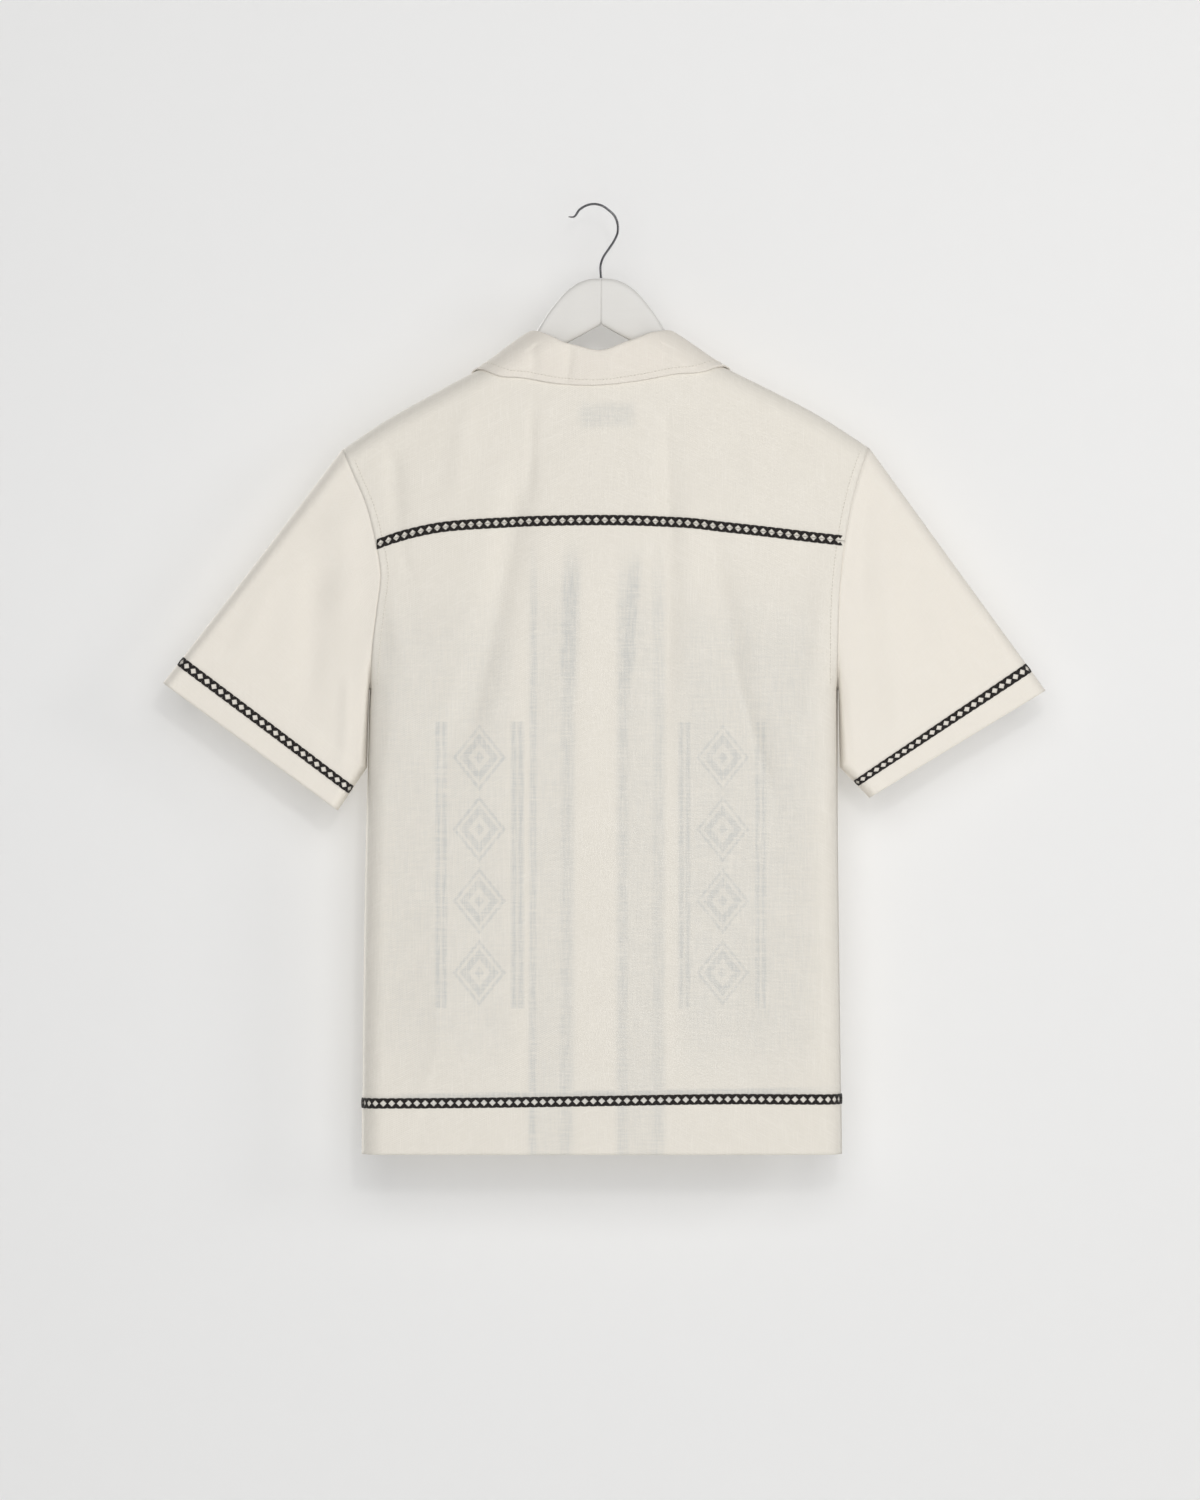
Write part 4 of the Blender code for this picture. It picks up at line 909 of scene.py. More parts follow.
def make_back():
    """Net of the back, from the yoke's seam to the hem."""
    ends = seam_end(-1), seam_end(1)
    shares = side_shares(150, 2 * HALF_WIDTH)
    x = mix(ends[0][0], ends[1][0], shares)
    top = back_at(x, yoke_seam(x)) + (0, SEAM_GAP)
    bottom = back_at(mix(left_edge(HEM_Z), right_edge(HEM_Z), shares), HEM_Z)
    down = np.linspace(0, 1, 190)
    places = cloth_patch(top, bottom, edge_place(-1, mix(top[0, 1], bottom[0, 1], down)),
                         edge_place(1, mix(top[-1, 1], bottom[-1, 1], down)))
    net = with_hem(places, body_point(places[..., 0], places[..., 1]))
    net[:, (0, -1), 1] -= SIDE_GAP / 2
    return places, net


back_places, back_net = make_back()
cloth_piece("back_cloth", "back", [back_net], [back_places], body_cloth)

# %% [markdown]
# ## Fronts with rolled lapels
#
# Each front is one cut piece from shoulder to hem. Above the top button its edge rolls back and
# becomes the lapel. The flat part and the lapel are two nets that meet at the roll line: the
# lapel's net goes round a small half circle there, then lies back over the front. The left front
# laps over the right one, so near the middle each leaves the common surface by under a
# millimetre.

# %% Flat part of a front
STAND_WIDTH = 0.015   # how far each front passes the middle
STAND_LIFT = 0.0008
STAND_FADE = 0.080
ROLL_RADIUS = 0.0016  # bend at the roll line
BREAK_Z = -0.3320
BREAKS = {-1: (-0.0148, BREAK_Z), 1: (0.0021, -0.2862)}
LOWER_TOP_Z = -0.360
NOTCH = (0.0800, -0.2000)
LAPEL_TIP = (0.1030, -0.2320)
COLLAR_TIP = (0.1120, -0.2120)
LAPEL_BELLY = 0.006   # swell of the lapel's outer edge
LAPEL_PUFF = 0.0009   # how far the lapel's middle stands off
NOTCH_SHARE = 0.52
SHOULDER_SHARE = 0.32
ROLL_DOWN = np.linspace(0, 1, 56) ** 1.1


def stand_lift(side, x):
    """Height of a front above the common surface: the left one laps over the right one."""
    return -side * STAND_LIFT * (1 - ease((np.abs(x) - STAND_WIDTH) / STAND_FADE))


def front_point(side, x, z, height=0.0):
    """Points on a front, with x measured from the middle towards the front's own side."""
    place = front_at(side * np.asarray(x, float), z)
    return lifted(place[..., 0], place[..., 1], height + stand_lift(side, place[..., 0]))


def front_places(side):
    """Cloth places of the flat part of a front, from its shoulder seam to its hem."""
    start = -YOKE_WRAP - SHOULDER_GAP
    shoulder, corner = edge_place(side, start), np.array((side * NECK_X, start))
    gorge = front_at(side * GORGE_ROLL[0], GORGE_ROLL[1])
    shares = side_shares(99, 2 * (HALF_WIDTH + STAND_WIDTH))[:50] * 2
    shares = shares / shares[-1]
    on_seam = np.minimum(shares / SHOULDER_SHARE, 1)
    past_seam = np.maximum((shares - SHOULDER_SHARE) / (1 - SHOULDER_SHARE), 0)
    top = np.where((shares < SHOULDER_SHARE)[:, None],
                   between(shoulder, corner, on_seam), between(corner, gorge, past_seam))
    bottom = front_at(mix(side_edge(side, HEM_Z), -side * STAND_WIDTH, shares), HEM_Z)
    roll = between(GORGE_ROLL, BREAKS[side], ROLL_DOWN)
    lower = np.linspace(LOWER_TOP_Z, HEM_Z, 150)
    inner = np.concatenate((front_at(side * roll[:, 0], roll[:, 1]),
                            front_at(-side * STAND_WIDTH, lower)))
    side_break = -along_of(ridge(side * HALF_WIDTH) - BREAK_Z)
    side_lower = -along_of(ridge(side * HALF_WIDTH) - LOWER_TOP_Z)
    outer = edge_place(side, np.concatenate((
        mix(start, side_break, ROLL_DOWN),
        mix(side_lower, bottom[0, 1], np.linspace(0, 1, 150)))))
    return cloth_patch(top, bottom, outer, inner)


# %% Lapel, folded back
def lapel_net(side):
    """Net of a lapel: round the roll line, then back over the front to its outer edge."""
    start = BREAKS[side]
    t = 1 - ROLL_DOWN
    roll = between(start, GORGE_ROLL, t)
    ahead = between(start, GORGE_ROLL, t + 0.01)
    root = front_point(side, roll[:, 0], roll[:, 1])
    place = front_at(side * roll[:, 0], roll[:, 1])
    normal = outward(place[:, 0], place[:, 1])
    opening = unit(np.cross(front_point(side, ahead[:, 0], ahead[:, 1]) - root, normal))
    opening = np.where(opening[:, :1] * side > 0, -opening, opening)
    turn = np.linspace(0, math.pi, 11)[None, :, None]
    bend = (root[:, None] + opening[:, None] * ROLL_RADIUS * np.sin(turn)
            + normal[:, None] * ROLL_RADIUS * (1 - np.cos(turn)))
    edge = between(start, LAPEL_TIP, t)
    swell = LAPEL_BELLY * np.sin(math.pi * t)
    edge = edge + np.stack((swell, -swell / 2), 1)
    shares = np.linspace(0, 1, 31)[1:]
    flat = mix(roll[:, None], edge[:, None], shares[None, :, None])
    ruled = flat.copy()
    sewn = np.minimum(shares / NOTCH_SHARE, 1)
    free = np.maximum((shares - NOTCH_SHARE) / (1 - NOTCH_SHARE), 0)
    flat[0] = np.where((shares <= NOTCH_SHARE)[:, None],
                       between(roll[0], NOTCH, sewn), between(NOTCH, LAPEL_TIP, free))
    # The rows below take the notched top's shape and lose it within a few rows
    near_top = np.exp(-np.arange(len(t)) / 3.0)[:, None, None]
    flat[1:] = (ruled + (flat[:1] - ruled[:1]) * near_top)[1:]
    puff = LAPEL_PUFF * np.sin(math.pi * shares)[None] * np.sin(math.pi * t)[:, None] ** 0.5
    leaf = front_point(side, flat[..., 0], flat[..., 1], 2 * ROLL_RADIUS + puff)
    net = np.concatenate((bend, leaf), 1)
    net[-1] = root[-1]
    ways = np.concatenate((np.linspace(0, math.pi * ROLL_RADIUS, 11), 0.005 + shares * 0.07))
    chart = np.stack(np.broadcast_arrays(ways[None] + roll[:, :1], roll[:, 1:]), -1)
    return net, chart


def make_front(side, node):
    """A front with its lapel, as one cut piece."""
    places = front_places(side)
    net = lifted(places[..., 0], places[..., 1], stand_lift(side, places[..., 0]))
    net = with_hem(places, net)
    net[:, 0, 1] += SIDE_GAP / 2
    lapel, chart = lapel_net(side)
    return cloth_piece(f"{node}_cloth", node, [net, lapel], [places, chart], front_cloth)


make_front(-1, "front_left")
make_front(1, "front_right")

# %% [markdown]
# ## Collar
#
# A camp collar has no separate stand. One piece rises from the neck's seam, rolls over and falls
# outside as a leaf with two points in front. It is built as a run of sections round the neck:
# stand, bend, leaf. The sections change smoothly, from a low tight roll at the back of the neck
# to a wide bend over each shoulder.

# %% Collar
COLLAR_CLOTH = 0.0014
COLLAR_SEAM = 0.0006
SHOULDER_WAY = 0.57
COLLAR_STATIONS = (
    # way, roll (x, along), edge (x, along), height of the bend, height of the edge
    (-0.20, back_at(-0.0270, -0.1283), back_at(-0.0400, -0.1620), 0.0019, 0.0019),
    (0.00, back_at(0.0000, -0.1350), back_at(0.0000, -0.1650), 0.0017, 0.0019),
    (0.20, back_at(0.0270, -0.1283), back_at(0.0400, -0.1620), 0.0019, 0.0019),
    (0.36, back_at(0.0450, -0.1225), back_at(0.0720, -0.1563), 0.0030, 0.0021),
    (0.50, (0.0560, 0.0085), (0.1020, 0.0188), 0.0050, 0.0022),
    (SHOULDER_WAY, (0.0620, 0.0000), (0.1160, 0.0000), 0.0066, 0.0022),
    (0.66, (0.0600, -0.0180), (0.1195, -0.0210), 0.0048, 0.0026),
    (0.82, front_at(0.0510, -0.1550), front_at(0.1185, -0.1880), 0.0026, 0.0034),
    (1.00, front_at(0.0405, -0.1820), front_at(*COLLAR_TIP), 0.0016, 0.0032),
)
COLLAR_TILT = 0.0020
# Creases across the leaf at the back: x at the roll, x at the edge, depth, width
COLLAR_CREASES = [(-0.0590, -0.0640, -0.0016, 0.0052), (-0.0260, -0.0320, -0.0016, 0.0046),
                  (0.0560, 0.0600, -0.0012, 0.0050), (0.0060, 0.0090, 0.0006, 0.0060)]


def collar_row(side, place, way, tracks):
    """One section of the collar: cloth places and heights from seam to outer edge."""
    roll_x, roll_along, edge_x, edge_along, bend, edge_height = (track(way) for track in tracks)
    tilt = -side * COLLAR_TILT * math.sin(math.pi * min(way / SHOULDER_WAY, 1.0))
    roll, edge = np.array((roll_x, roll_along + tilt)), np.array((edge_x, edge_along + tilt))
    way_in = (roll - edge) / np.linalg.norm(roll - edge)
    seam = mix(place, roll, COLLAR_SEAM / np.linalg.norm(roll - place))
    rise = np.linspace(0, 1, 7)
    stand = np.column_stack((between(seam, roll, rise), (bend - ROLL_RADIUS) * rise ** 2))
    turn = np.linspace(-QUARTER / 1.1, QUARTER / 1.1, 9)
    over = np.column_stack((roll + np.outer(ROLL_RADIUS * np.cos(turn), way_in),
                            bend + ROLL_RADIUS * np.sin(turn)))
    fall = np.linspace(0.03, 1, 26)
    height = mix(bend + ROLL_RADIUS, edge_height, ease(fall))
    leaf = np.column_stack((between(roll, edge, fall), height))
    rows = np.concatenate((stand, over, leaf))
    rows[:, 2] += stand_lift(side, side * rows[:, 0]) * ease(-rows[:, 1] / 0.03)
    return side * rows[:, 0], rows[:, 1], rows[:, 2]


def collar_dents(x, along):
    """How far the leaf's creases move one section at the back of the neck."""
    down = np.linspace(0, 1, len(x))
    for x_roll, x_edge, depth, width in COLLAR_CREASES:
        dent = depth * np.exp(-((x - mix(x_roll, x_edge, down)) / width) ** 2)
        yield dent * ease((down - 0.2) * 4) * ease((1.1 - down) * 3) * (along > 0.02)


def make_collar():
    """Net of the collar, from the left gorge round the back to the right gorge."""
    ways = [row[0] for row in COLLAR_STATIONS]
    columns = np.array([(*row[1], *row[2], row[3], row[4]) for row in COLLAR_STATIONS]).T
    tracks = [smooth(list(zip(ways, column))) for column in columns]
    neck = neck_line(150)
    net, charts = [], []
    for side in (-1, 1):
        half = []
        for place, way in zip(neck, np.linspace(0, 1, len(neck))):
            x, along, height = collar_row(side, place, way, tracks)
            for dent in collar_dents(x, along):
                height = height + dent
            half.append((lifted(x, along, height), np.stack((x, along), -1)))
        half = list(reversed(half)) if side < 0 else half[1:]
        net += [row[0] for row in half]
        charts += [row[1] for row in half]
    return np.array(net), np.array(charts)


collar_net, collar_chart = make_collar()
cloth_piece("collar_cloth", "collar", [collar_net], [collar_chart], collar_cloth,
            wall=COLLAR_CLOTH)

# %% [markdown]
# ## Sleeves
#
# Each sleeve is a flat tube that leaves the armhole and ends in an open hem. Its section is
# built from the two folded edges, with a round edge and a calm face between them. Near the seam
# the tube takes the armhole's own shape, and its seam allowance lies under the body's panels.

# %% Sleeves
SLEEVES = {
    -1: {"outer_top": (-0.2368, -0.2247), "outer_hem": (-0.4043, -0.4393),
         "inner_knee": (-0.2166, -0.5168), "inner_hem": (-0.2436, -0.5566)},
    1: {"outer_top": (0.2472, -0.2233), "outer_hem": (0.4103, -0.4463),
        "inner_knee": (0.2212, -0.5168), "inner_hem": (0.2484, -0.5449)},
}
KNEE_SHARE = 0.80
SLEEVE_DEPTH_TOP = 0.024
SLEEVE_DEPTH_HEM = 0.014
SLEEVE_EDGE_RADIUS = 0.009
SLEEVE_HEM_Y = 0.012
ARMHOLE_GAP = 0.0006
UNDERARM_TUCK = 0.0019
SEAM_ALLOWANCE = (0.0045, 0.0002)
SEAM_DEPTH = 0.0015
SLEEVE_WIDTH = 0.26
SLEEVE_LENGTH = 0.27


def sleeve_ends(side, down):
    """Outer and inner ends of a sleeve's section, as (x, z), for shares of its length."""
    sizes = SLEEVES[side]
    outer = between(sizes["outer_top"], sizes["outer_hem"], down)
    underarm = (side_edge(side, UNDERARM_Z) + side * UNDERARM_TUCK, UNDERARM_Z)
    upper = between(underarm, sizes["inner_knee"], np.minimum(down / KNEE_SHARE, 1))
    lower = between(sizes["inner_knee"], sizes["inner_hem"],
                    np.maximum((down - KNEE_SHARE) / (1 - KNEE_SHARE), 0))
    return outer, np.where((np.asarray(down) < KNEE_SHARE)[..., None], upper, lower)


def armhole_point(side, face, across, inset=0.0, depth=0.0):
    """Points of the armhole's edge for shares of its height, or inside and below that edge."""
    top = ridge(edge_place(side, 0.0)[0])
    z = mix(top, UNDERARM_Z, across)
    x = side_edge(side, z)
    along = face * np.maximum(along_of(ridge(x) - z), 1e-6)
    return body_point(x - side * inset, along) - outward(x - side * inset, along) * depth


def sleeve_section(side, face, down, across):
    """Points of one face of a sleeve before it is pulled to the armhole."""
    outer, inner = sleeve_ends(side, down)
    spot = mix(outer, inner, across[..., None])
    width = np.linalg.norm(inner - outer, axis=-1)
    rim = (rounded(across * width / SLEEVE_EDGE_RADIUS)
           * rounded((1 - across) * width / SLEEVE_EDGE_RADIUS))
    x, z = spot[..., 0], spot[..., 1]
    folds = (BACK_FOLDS + BACK_CREASES) if face > 0 else (FRONT_FOLDS + FRONT_CREASES)
    depth = mix(SLEEVE_DEPTH_TOP, SLEEVE_DEPTH_HEM, down)
    depth = depth + fold_height(x, z, folds) + dents(x, z, face)
    y = mix(FORWARD, SLEEVE_HEM_Y, down) - face * depth * rim
    return np.stack((x, y, z), -1)


def sleeve_point(side, face, down, across):
    """Points of a sleeve: face 1 is behind, across runs from the outer to the inner edge."""
    down, across = np.broadcast_arrays(np.asarray(down, float), np.asarray(across, float))
    seam = armhole_point(side, face, across)
    seam[..., 0] += side * mix(ARMHOLE_GAP, UNDERARM_TUCK, across ** 2)
    gap = seam - sleeve_section(side, face, np.zeros_like(down), across)
    return sleeve_section(side, face, down, across) + gap * ((1 - down) ** 2)[..., None]


def sleeve_normal(side, face, down, across):
    """Direction away from a sleeve's hollow."""
    step = 0.004
    low, high = np.clip(across - step, 0, 1), np.clip(across + step, 0, 1)
    along = sleeve_point(side, face, down, high) - sleeve_point(side, face, down, low)
    slope = sleeve_point(side, face, down + step, across) - sleeve_point(side, face, down - step, across)
    normal = unit(np.cross(along, slope))
    return np.where(normal[..., 1:2] * face > 0, -normal, normal)


def make_sleeve(side, node):
    """A sleeve as one closed tube of cloth."""
    down = np.linspace(0, 1, 96)[:, None]
    across = (1 - np.cos(np.linspace(0, math.pi, 72))) / 2
    across = mix(across, np.linspace(0, 1, 72), 0.5)
    faces = []
    for face in (1, -1):
        allowance = [armhole_point(side, face, across, inset, SEAM_DEPTH) for inset in SEAM_ALLOWANCE]
        faces.append(np.concatenate((allowance, sleeve_point(side, face, down, across[None]))))
    net = np.concatenate((faces[0], faces[1][:, -2:0:-1]), 1)
    ring = np.concatenate((across, 2 - across[-2:0:-1])) * SLEEVE_WIDTH
    length = np.concatenate((-np.array(SEAM_ALLOWANCE) - 0.0006, down[:, 0] * SLEEVE_LENGTH))
    chart = np.stack(np.broadcast_arrays(ring[None], length[:, None]), -1)
    return cloth_piece(f"{node}_cloth", node, [net], [chart], sleeve_cloth,
                       closed=True)


make_sleeve(-1, "sleeve_left")
make_sleeve(1, "sleeve_right")

# %% [markdown]
# ## Black openwork braid
#
# The braid is a narrow woven band with a row of diamond holes and small scallops along both
# edges. A flat strip with a transparent pattern would lose its edges in a close view. Here each
# diamond is a small real ring, rounded like plaited thread, and the rings overlap into a band
# that follows the cloth below it.

# %% Braid material
def make_braid_material():
    """Matt black thread with a fine slanting ply."""
    finish, tree, shader = new_material("black braid thread")
    place = object_place(tree)
    fuzz = noise(tree, place, 900.0, 3.0, 0.6)
    ply = add_node(tree, "ShaderNodeTexWave", {"Vector": place, "Scale": 420.0, "Distortion": 1.5})
    ply.bands_direction = "DIAGONAL"
    colour = mix_colour(tree, fuzz, (0.006, 0.005, 0.005, 1), (0.030, 0.025, 0.023, 1))
    add_bump(tree, shader, math_node(tree, "ADD", ply.outputs["Fac"], fuzz), 0.6, 0.0003)
    feed(tree, shader, {"Base Color": colour, "Roughness": 0.85, "Specular IOR Level": 0.25,
                        "Sheen Weight": 0.08})
    return finish


braid_thread = make_braid_material()
print("material:", braid_thread.name)

# %% One diamond of braid, repeated along a line
BRAID_WIDTH = 0.0096
BRAID_THICKNESS = 0.0010
DIAMOND_PITCH = 0.0078
DIAMOND_LENGTH = 0.0064  # of the hole
DIAMOND_HEIGHT = 0.0061
RIM_SQUARE = 9.0         # a higher number makes the rim's corners squarer
RIM_REACH = 0.52         # half a ring's length in pitches: over 0.5, so the rings overlap
BRAID_RISE = CLOTH / 2 + SEAM_GAP + BRAID_THICKNESS / 2
RING_POINTS = 16
RING_STEPS = 4


def diamond_ring():
    """Way, across and height of the points of one ring, in rows from the hole to the rim."""
    turn = math.tau * np.arange(RING_POINTS) / RING_POINTS
    c, s = np.cos(turn), np.sin(turn)
    hole_share = 1 / (np.abs(c) + np.abs(s))
    rim_share = 1 / (np.abs(c) ** RIM_SQUARE + np.abs(s) ** RIM_SQUARE) ** (1 / RIM_SQUARE)
    hole = np.stack((c * hole_share * DIAMOND_LENGTH / 2, s * hole_share * DIAMOND_HEIGHT / 2), -1)
    rim = np.stack((c * rim_share * DIAMOND_PITCH * RIM_REACH, s * rim_share * BRAID_WIDTH / 2), -1)
    rows = []
    for i in range(2 * RING_STEPS):
        angle = math.tau * i / (2 * RING_STEPS)
        share = (1 - math.cos(angle)) / 2
        spot = hole + (rim - hole) * share
        height = np.full(RING_POINTS, math.sin(angle) * BRAID_THICKNESS / 2)
        rows.append(np.column_stack((spot, height)))
    return np.array(rows)


def braid_piece(node, place_at, forked=False):
    """Braid along a line; place_at gives points for shares of it, across and height."""
    share_at, length = way_to_share(lambda share: place_at(share, 0 * share, 0 * share))
    if forked:
        length -= DIAMOND_PITCH / 4
    ring = diamond_ring()
    count = round(length / DIAMOND_PITCH)
    pitch = length / count
    net_rows, ring_size = ring.shape[:2]
    middles = (np.arange(count) + 0.5) * pitch
    way = middles[:, None, None] + ring[None, ..., 0]
    across, height = (np.broadcast_to(ring[None, ..., k], way.shape) for k in (1, 2))
    points = place_at(share_at(way), across, height)
    faces = []
    for k in range(count):
        first = k * net_rows * ring_size
        for i in range(net_rows):
            a = first + i * ring_size
            b = first + (i + 1) % net_rows * ring_size
            for j in range(ring_size):
                n = (j + 1) % ring_size
                faces.append((a + j, b + j, b + n, a + n))
    mesh = bpy.data.meshes.new(f"{node}_thread")
    mesh.from_pydata(points.reshape(-1, 3).tolist(), [], faces)
    bm = bmesh.new()
    bm.from_mesh(mesh)
    if forked:
        cut_fork(bm, first, net_rows, ring_size)
    bmesh.ops.recalc_face_normals(bm, faces=bm.faces)
    bm.to_mesh(mesh)
    bm.free()
    mesh.shade_smooth()
    print(f"{node}: {count} diamonds in {length * 1000:.0f} mm")
    return add_piece(f"{node}_thread", mesh, braid_thread, (node,))


def cut_fork(bm, first, net_rows, ring_size):
    """Opens the last ring at its end, so that the braid ends in a small fork."""
    bm.verts.ensure_lookup_table()
    gone = [bm.verts[first + i * ring_size + j]
            for i in range(net_rows) for j in (ring_size - 1, 0, 1)]
    bmesh.ops.delete(bm, geom=gone, context="VERTS")
    edges = [edge for edge in bm.edges if edge.is_boundary]
    bmesh.ops.holes_fill(bm, edges=edges, sides=net_rows * 2)


def way_to_share(centre):
    """Turns ways in metres into shares of a line, and gives the line's length."""
    shares = np.linspace(0, 1, 600)
    # Denser towards both ends, where the line bends round the sides
    shares = mix(shares, (1 - np.cos(math.pi * shares)) / 2, 0.6)
    ways = ways_along(centre(shares))
    return lambda way: np.interp(way, ways, shares), ways[-1]


# %% Braid on the body
BRAID_INSET = 0.0005
RIGHT_BRAID_X = 0.0164  # on the right front the braid starts beside the left front's edge
BRAID_SIDE = 0.0001


def body_braid(node, ends, height_at, at, lift, forked=False):
    """Braid across the body's panels, along a line given by its height."""
    def place_at(share, across, height):
        x = mix(ends[0], ends[1], share)
        place = at(x, height_at(x) + across)
        return lifted(place[..., 0], place[..., 1], lift(x) + BRAID_RISE + height)

    braid_piece(node, place_at, forked)


ends = seam_end(-1)[0] + BRAID_INSET, seam_end(1)[0] - BRAID_INSET
hem_ends = (left_edge(hem_braid(-HALF_SPAN)) + BRAID_SIDE,
            right_edge(hem_braid(HALF_SPAN)) - BRAID_SIDE)
body_braid("braid_yoke", ends, yoke_seam, back_at, lambda x: 0.0, True)
body_braid("braid_hem_back", hem_ends, hem_braid, back_at, lambda x: 0.0)
body_braid("braid_hem_front_left", (hem_ends[0], STAND_WIDTH - BRAID_INSET), hem_braid, front_at,
           lambda x: stand_lift(-1, x))
body_braid("braid_hem_front_right", (RIGHT_BRAID_X, hem_ends[1]), hem_braid, front_at,
           lambda x: stand_lift(1, x))

# %% Braid round the sleeves
SLEEVE_BRAID_SHARE = 0.905
BRAID_TURN = 0.006


def sleeve_braid(node, side, face):
    """Braid round one face of a sleeve, from its outer edge to its inner edge."""
    outer, inner = sleeve_ends(side, np.array((0.0, 1.0)))
    sleeve_length = np.linalg.norm(outer[1] - outer[0])

    def place_at(share, across, height):
        down = SLEEVE_BRAID_SHARE - across / sleeve_length
        spot = mix(BRAID_TURN, 1 - BRAID_TURN, share)
        normal = sleeve_normal(side, face, down, spot)
        return sleeve_point(side, face, down, spot) + normal * (BRAID_RISE + height)[..., None]

    braid_piece(node, place_at)


for side, label in ((-1, "left"), (1, "right")):
    sleeve_braid(f"braid_sleeve_{label}_back", side, 1)
    sleeve_braid(f"braid_sleeve_{label}_front", side, -1)

# %% [markdown]
# ## Stitches
#
# Sewing shows as rows of short raised threads. Drawn in a material they would follow the UV map's
# grid, not the seams. So each row is one mesh of small spindles, laid end to end with a gap along
# a line on the cloth. A stitch is only half a millimetre thick, so six sides are plenty.

# %% A row of stitches
STITCH_LENGTH = 0.0026
STITCH_STEP = 0.0032
STITCH_RADIUS = 0.00028
STITCH_SIDES = 6
STITCH_RISE = 0.35     # a stitch's middle lies this share of its radius above the line
STITCH_SPREAD = 1.15   # a stitch is this much wider than high


def make_thread_material(name, colour):
    """Slightly glossy sewing thread with a fine twist."""
    finish, tree, shader = new_material(name)
    darker = tuple(0.82 * c for c in colour[:3]) + (1,)
    tone = mix_colour(tree, noise(tree, object_place(tree), 400.0), colour, darker)
    feed(tree, shader, {"Base Color": tone, "Roughness": 0.6})
    return finish


cream_thread = make_thread_material("cream sewing thread", (0.74, 0.705, 0.62, 1))


def stitch_row(points, normals, step=STITCH_STEP, length=STITCH_LENGTH, radius=STITCH_RADIUS):
    """Vertices and faces of the stitches along a line of points."""
    ways = ways_along(points)
    middles = np.arange(step / 2, ways[-1], step)
    vertices, faces = [], []
    for way in middles:
        first, last = [np.array([np.interp(way + off, ways, points[:, k]) for k in range(3)])
                       for off in (-length / 2, length / 2)]
        normal = unit(np.array([np.interp(way, ways, normals[:, k]) for k in range(3)]))
        forward = unit(last - first)
        aside = np.cross(normal, forward)
        start = len(vertices)
        vertices.append(first - normal * radius)
        for share in (0.28, 0.72):
            for k in range(STITCH_SIDES):
                turn = math.tau * k / STITCH_SIDES
                up = normal * radius * (STITCH_RISE + math.sin(turn))
                vertices.append(mix(first, last, share) + up
                                + aside * radius * STITCH_SPREAD * math.cos(turn))
        vertices.append(last - normal * radius)
        ring, next_ring = start + 1, start + 1 + STITCH_SIDES
        tip = next_ring + STITCH_SIDES
        for k in range(STITCH_SIDES):
            n = (k + 1) % STITCH_SIDES
            faces.append((start, ring + n, ring + k))
            faces.append((ring + k, ring + n, next_ring + n, next_ring + k))
            faces.append((tip, next_ring + k, next_ring + n))
    return vertices, faces


def stitches(name, rows, finish, slot, **sizes):
    """One piece made of several rows, each given as points and normals."""
    vertices, faces = [], []
    for points, normals in rows:
        more, sides = stitch_row(points, normals, **sizes)
        faces += [tuple(i + len(vertices) for i in face) for face in sides]
        vertices += more
    mesh = bpy.data.meshes.new(name)
    mesh.from_pydata([tuple(v) for v in vertices], [], faces)
    mesh.shade_smooth()
    print(f"{name}: {len(faces) // (3 * STITCH_SIDES)} stitches")
    return add_piece(name, mesh, finish)


def body_row(places, height):
    """Points and normals of a row at cloth places on the body."""
    places = np.asarray(places, float)
    x, along = places[:, 0], places[:, 1]
    return lifted(x, along, np.broadcast_to(height, x.shape)), outward(x, along)


# %% Rows of stitches on the body, the sleeves and the collar
THREAD_AIR = 0.0001
ON_CLOTH = CLOTH / 2 + THREAD_AIR
ARMHOLE_INSET = 0.0072
ARMHOLE_TOP = {-1: -0.2330, 1: -0.2250}
ROW_END = 0.004  # rows stop this far before an edge


def armhole_row(side, face):
    """Topstitching on the body side of an armhole."""
    z = np.linspace(ARMHOLE_TOP[side], UNDERARM_Z + ROW_END, 140)
    x = side_edge(side, z) - side * ARMHOLE_INSET
    place = back_at(x, z) if face > 0 else front_at(x, z)
    return body_row(place, ON_CLOTH)


stitches("armhole_stitches", [armhole_row(side, face) for side in (-1, 1) for face in (-1, 1)],
         cream_thread, "cream_cloth")

COLLAR_COLUMN = -5  # the net's column that the row follows, counted from the outer edge
NECK_MIDDLE = (0, 0.004, -0.2)


def collar_edge_row():
    """Topstitching just inside the collar's outer edge."""
    round_neck, to_edge = np.gradient(collar_net, axis=0), np.gradient(collar_net, axis=1)
    line = collar_net[:, COLLAR_COLUMN]
    normal = unit(np.cross(round_neck, to_edge))[:, COLLAR_COLUMN]
    inward = (normal * (line - NECK_MIDDLE)).sum(1, keepdims=True) < 0
    normal = np.where(inward, -normal, normal)[3:-3]
    return line[3:-3] + normal * (COLLAR_CLOTH / 2 + THREAD_AIR), normal


stitches("collar_stitches", [collar_edge_row()], cream_thread, "cream_cloth")


def placket_rows():
    """Two rows down the left front's doubled edge: one near the edge and one at its inner side."""
    z = np.linspace(-0.345, HEM_Z + ROW_END, 260)
    found = []
    for x in (STAND_WIDTH - 0.003, -0.0150):
        found.append(body_row(front_at(x, z), ON_CLOTH + stand_lift(-1, np.array(x))))
    return found


stitches("placket_stitches", placket_rows(), cream_thread, "cream_cloth")


def lapel_row(side):
    """A row just inside the lapel's outer edge."""
    net, _ = lapel_net(side)
    line, inner = net[1:-3, -3], net[1:-3, -5]
    normal = unit(np.cross(np.gradient(line, axis=0), inner - line))
    normal = np.where(normal[:, 1:2] < 0, -normal, normal)
    return line + normal * ON_CLOTH, normal


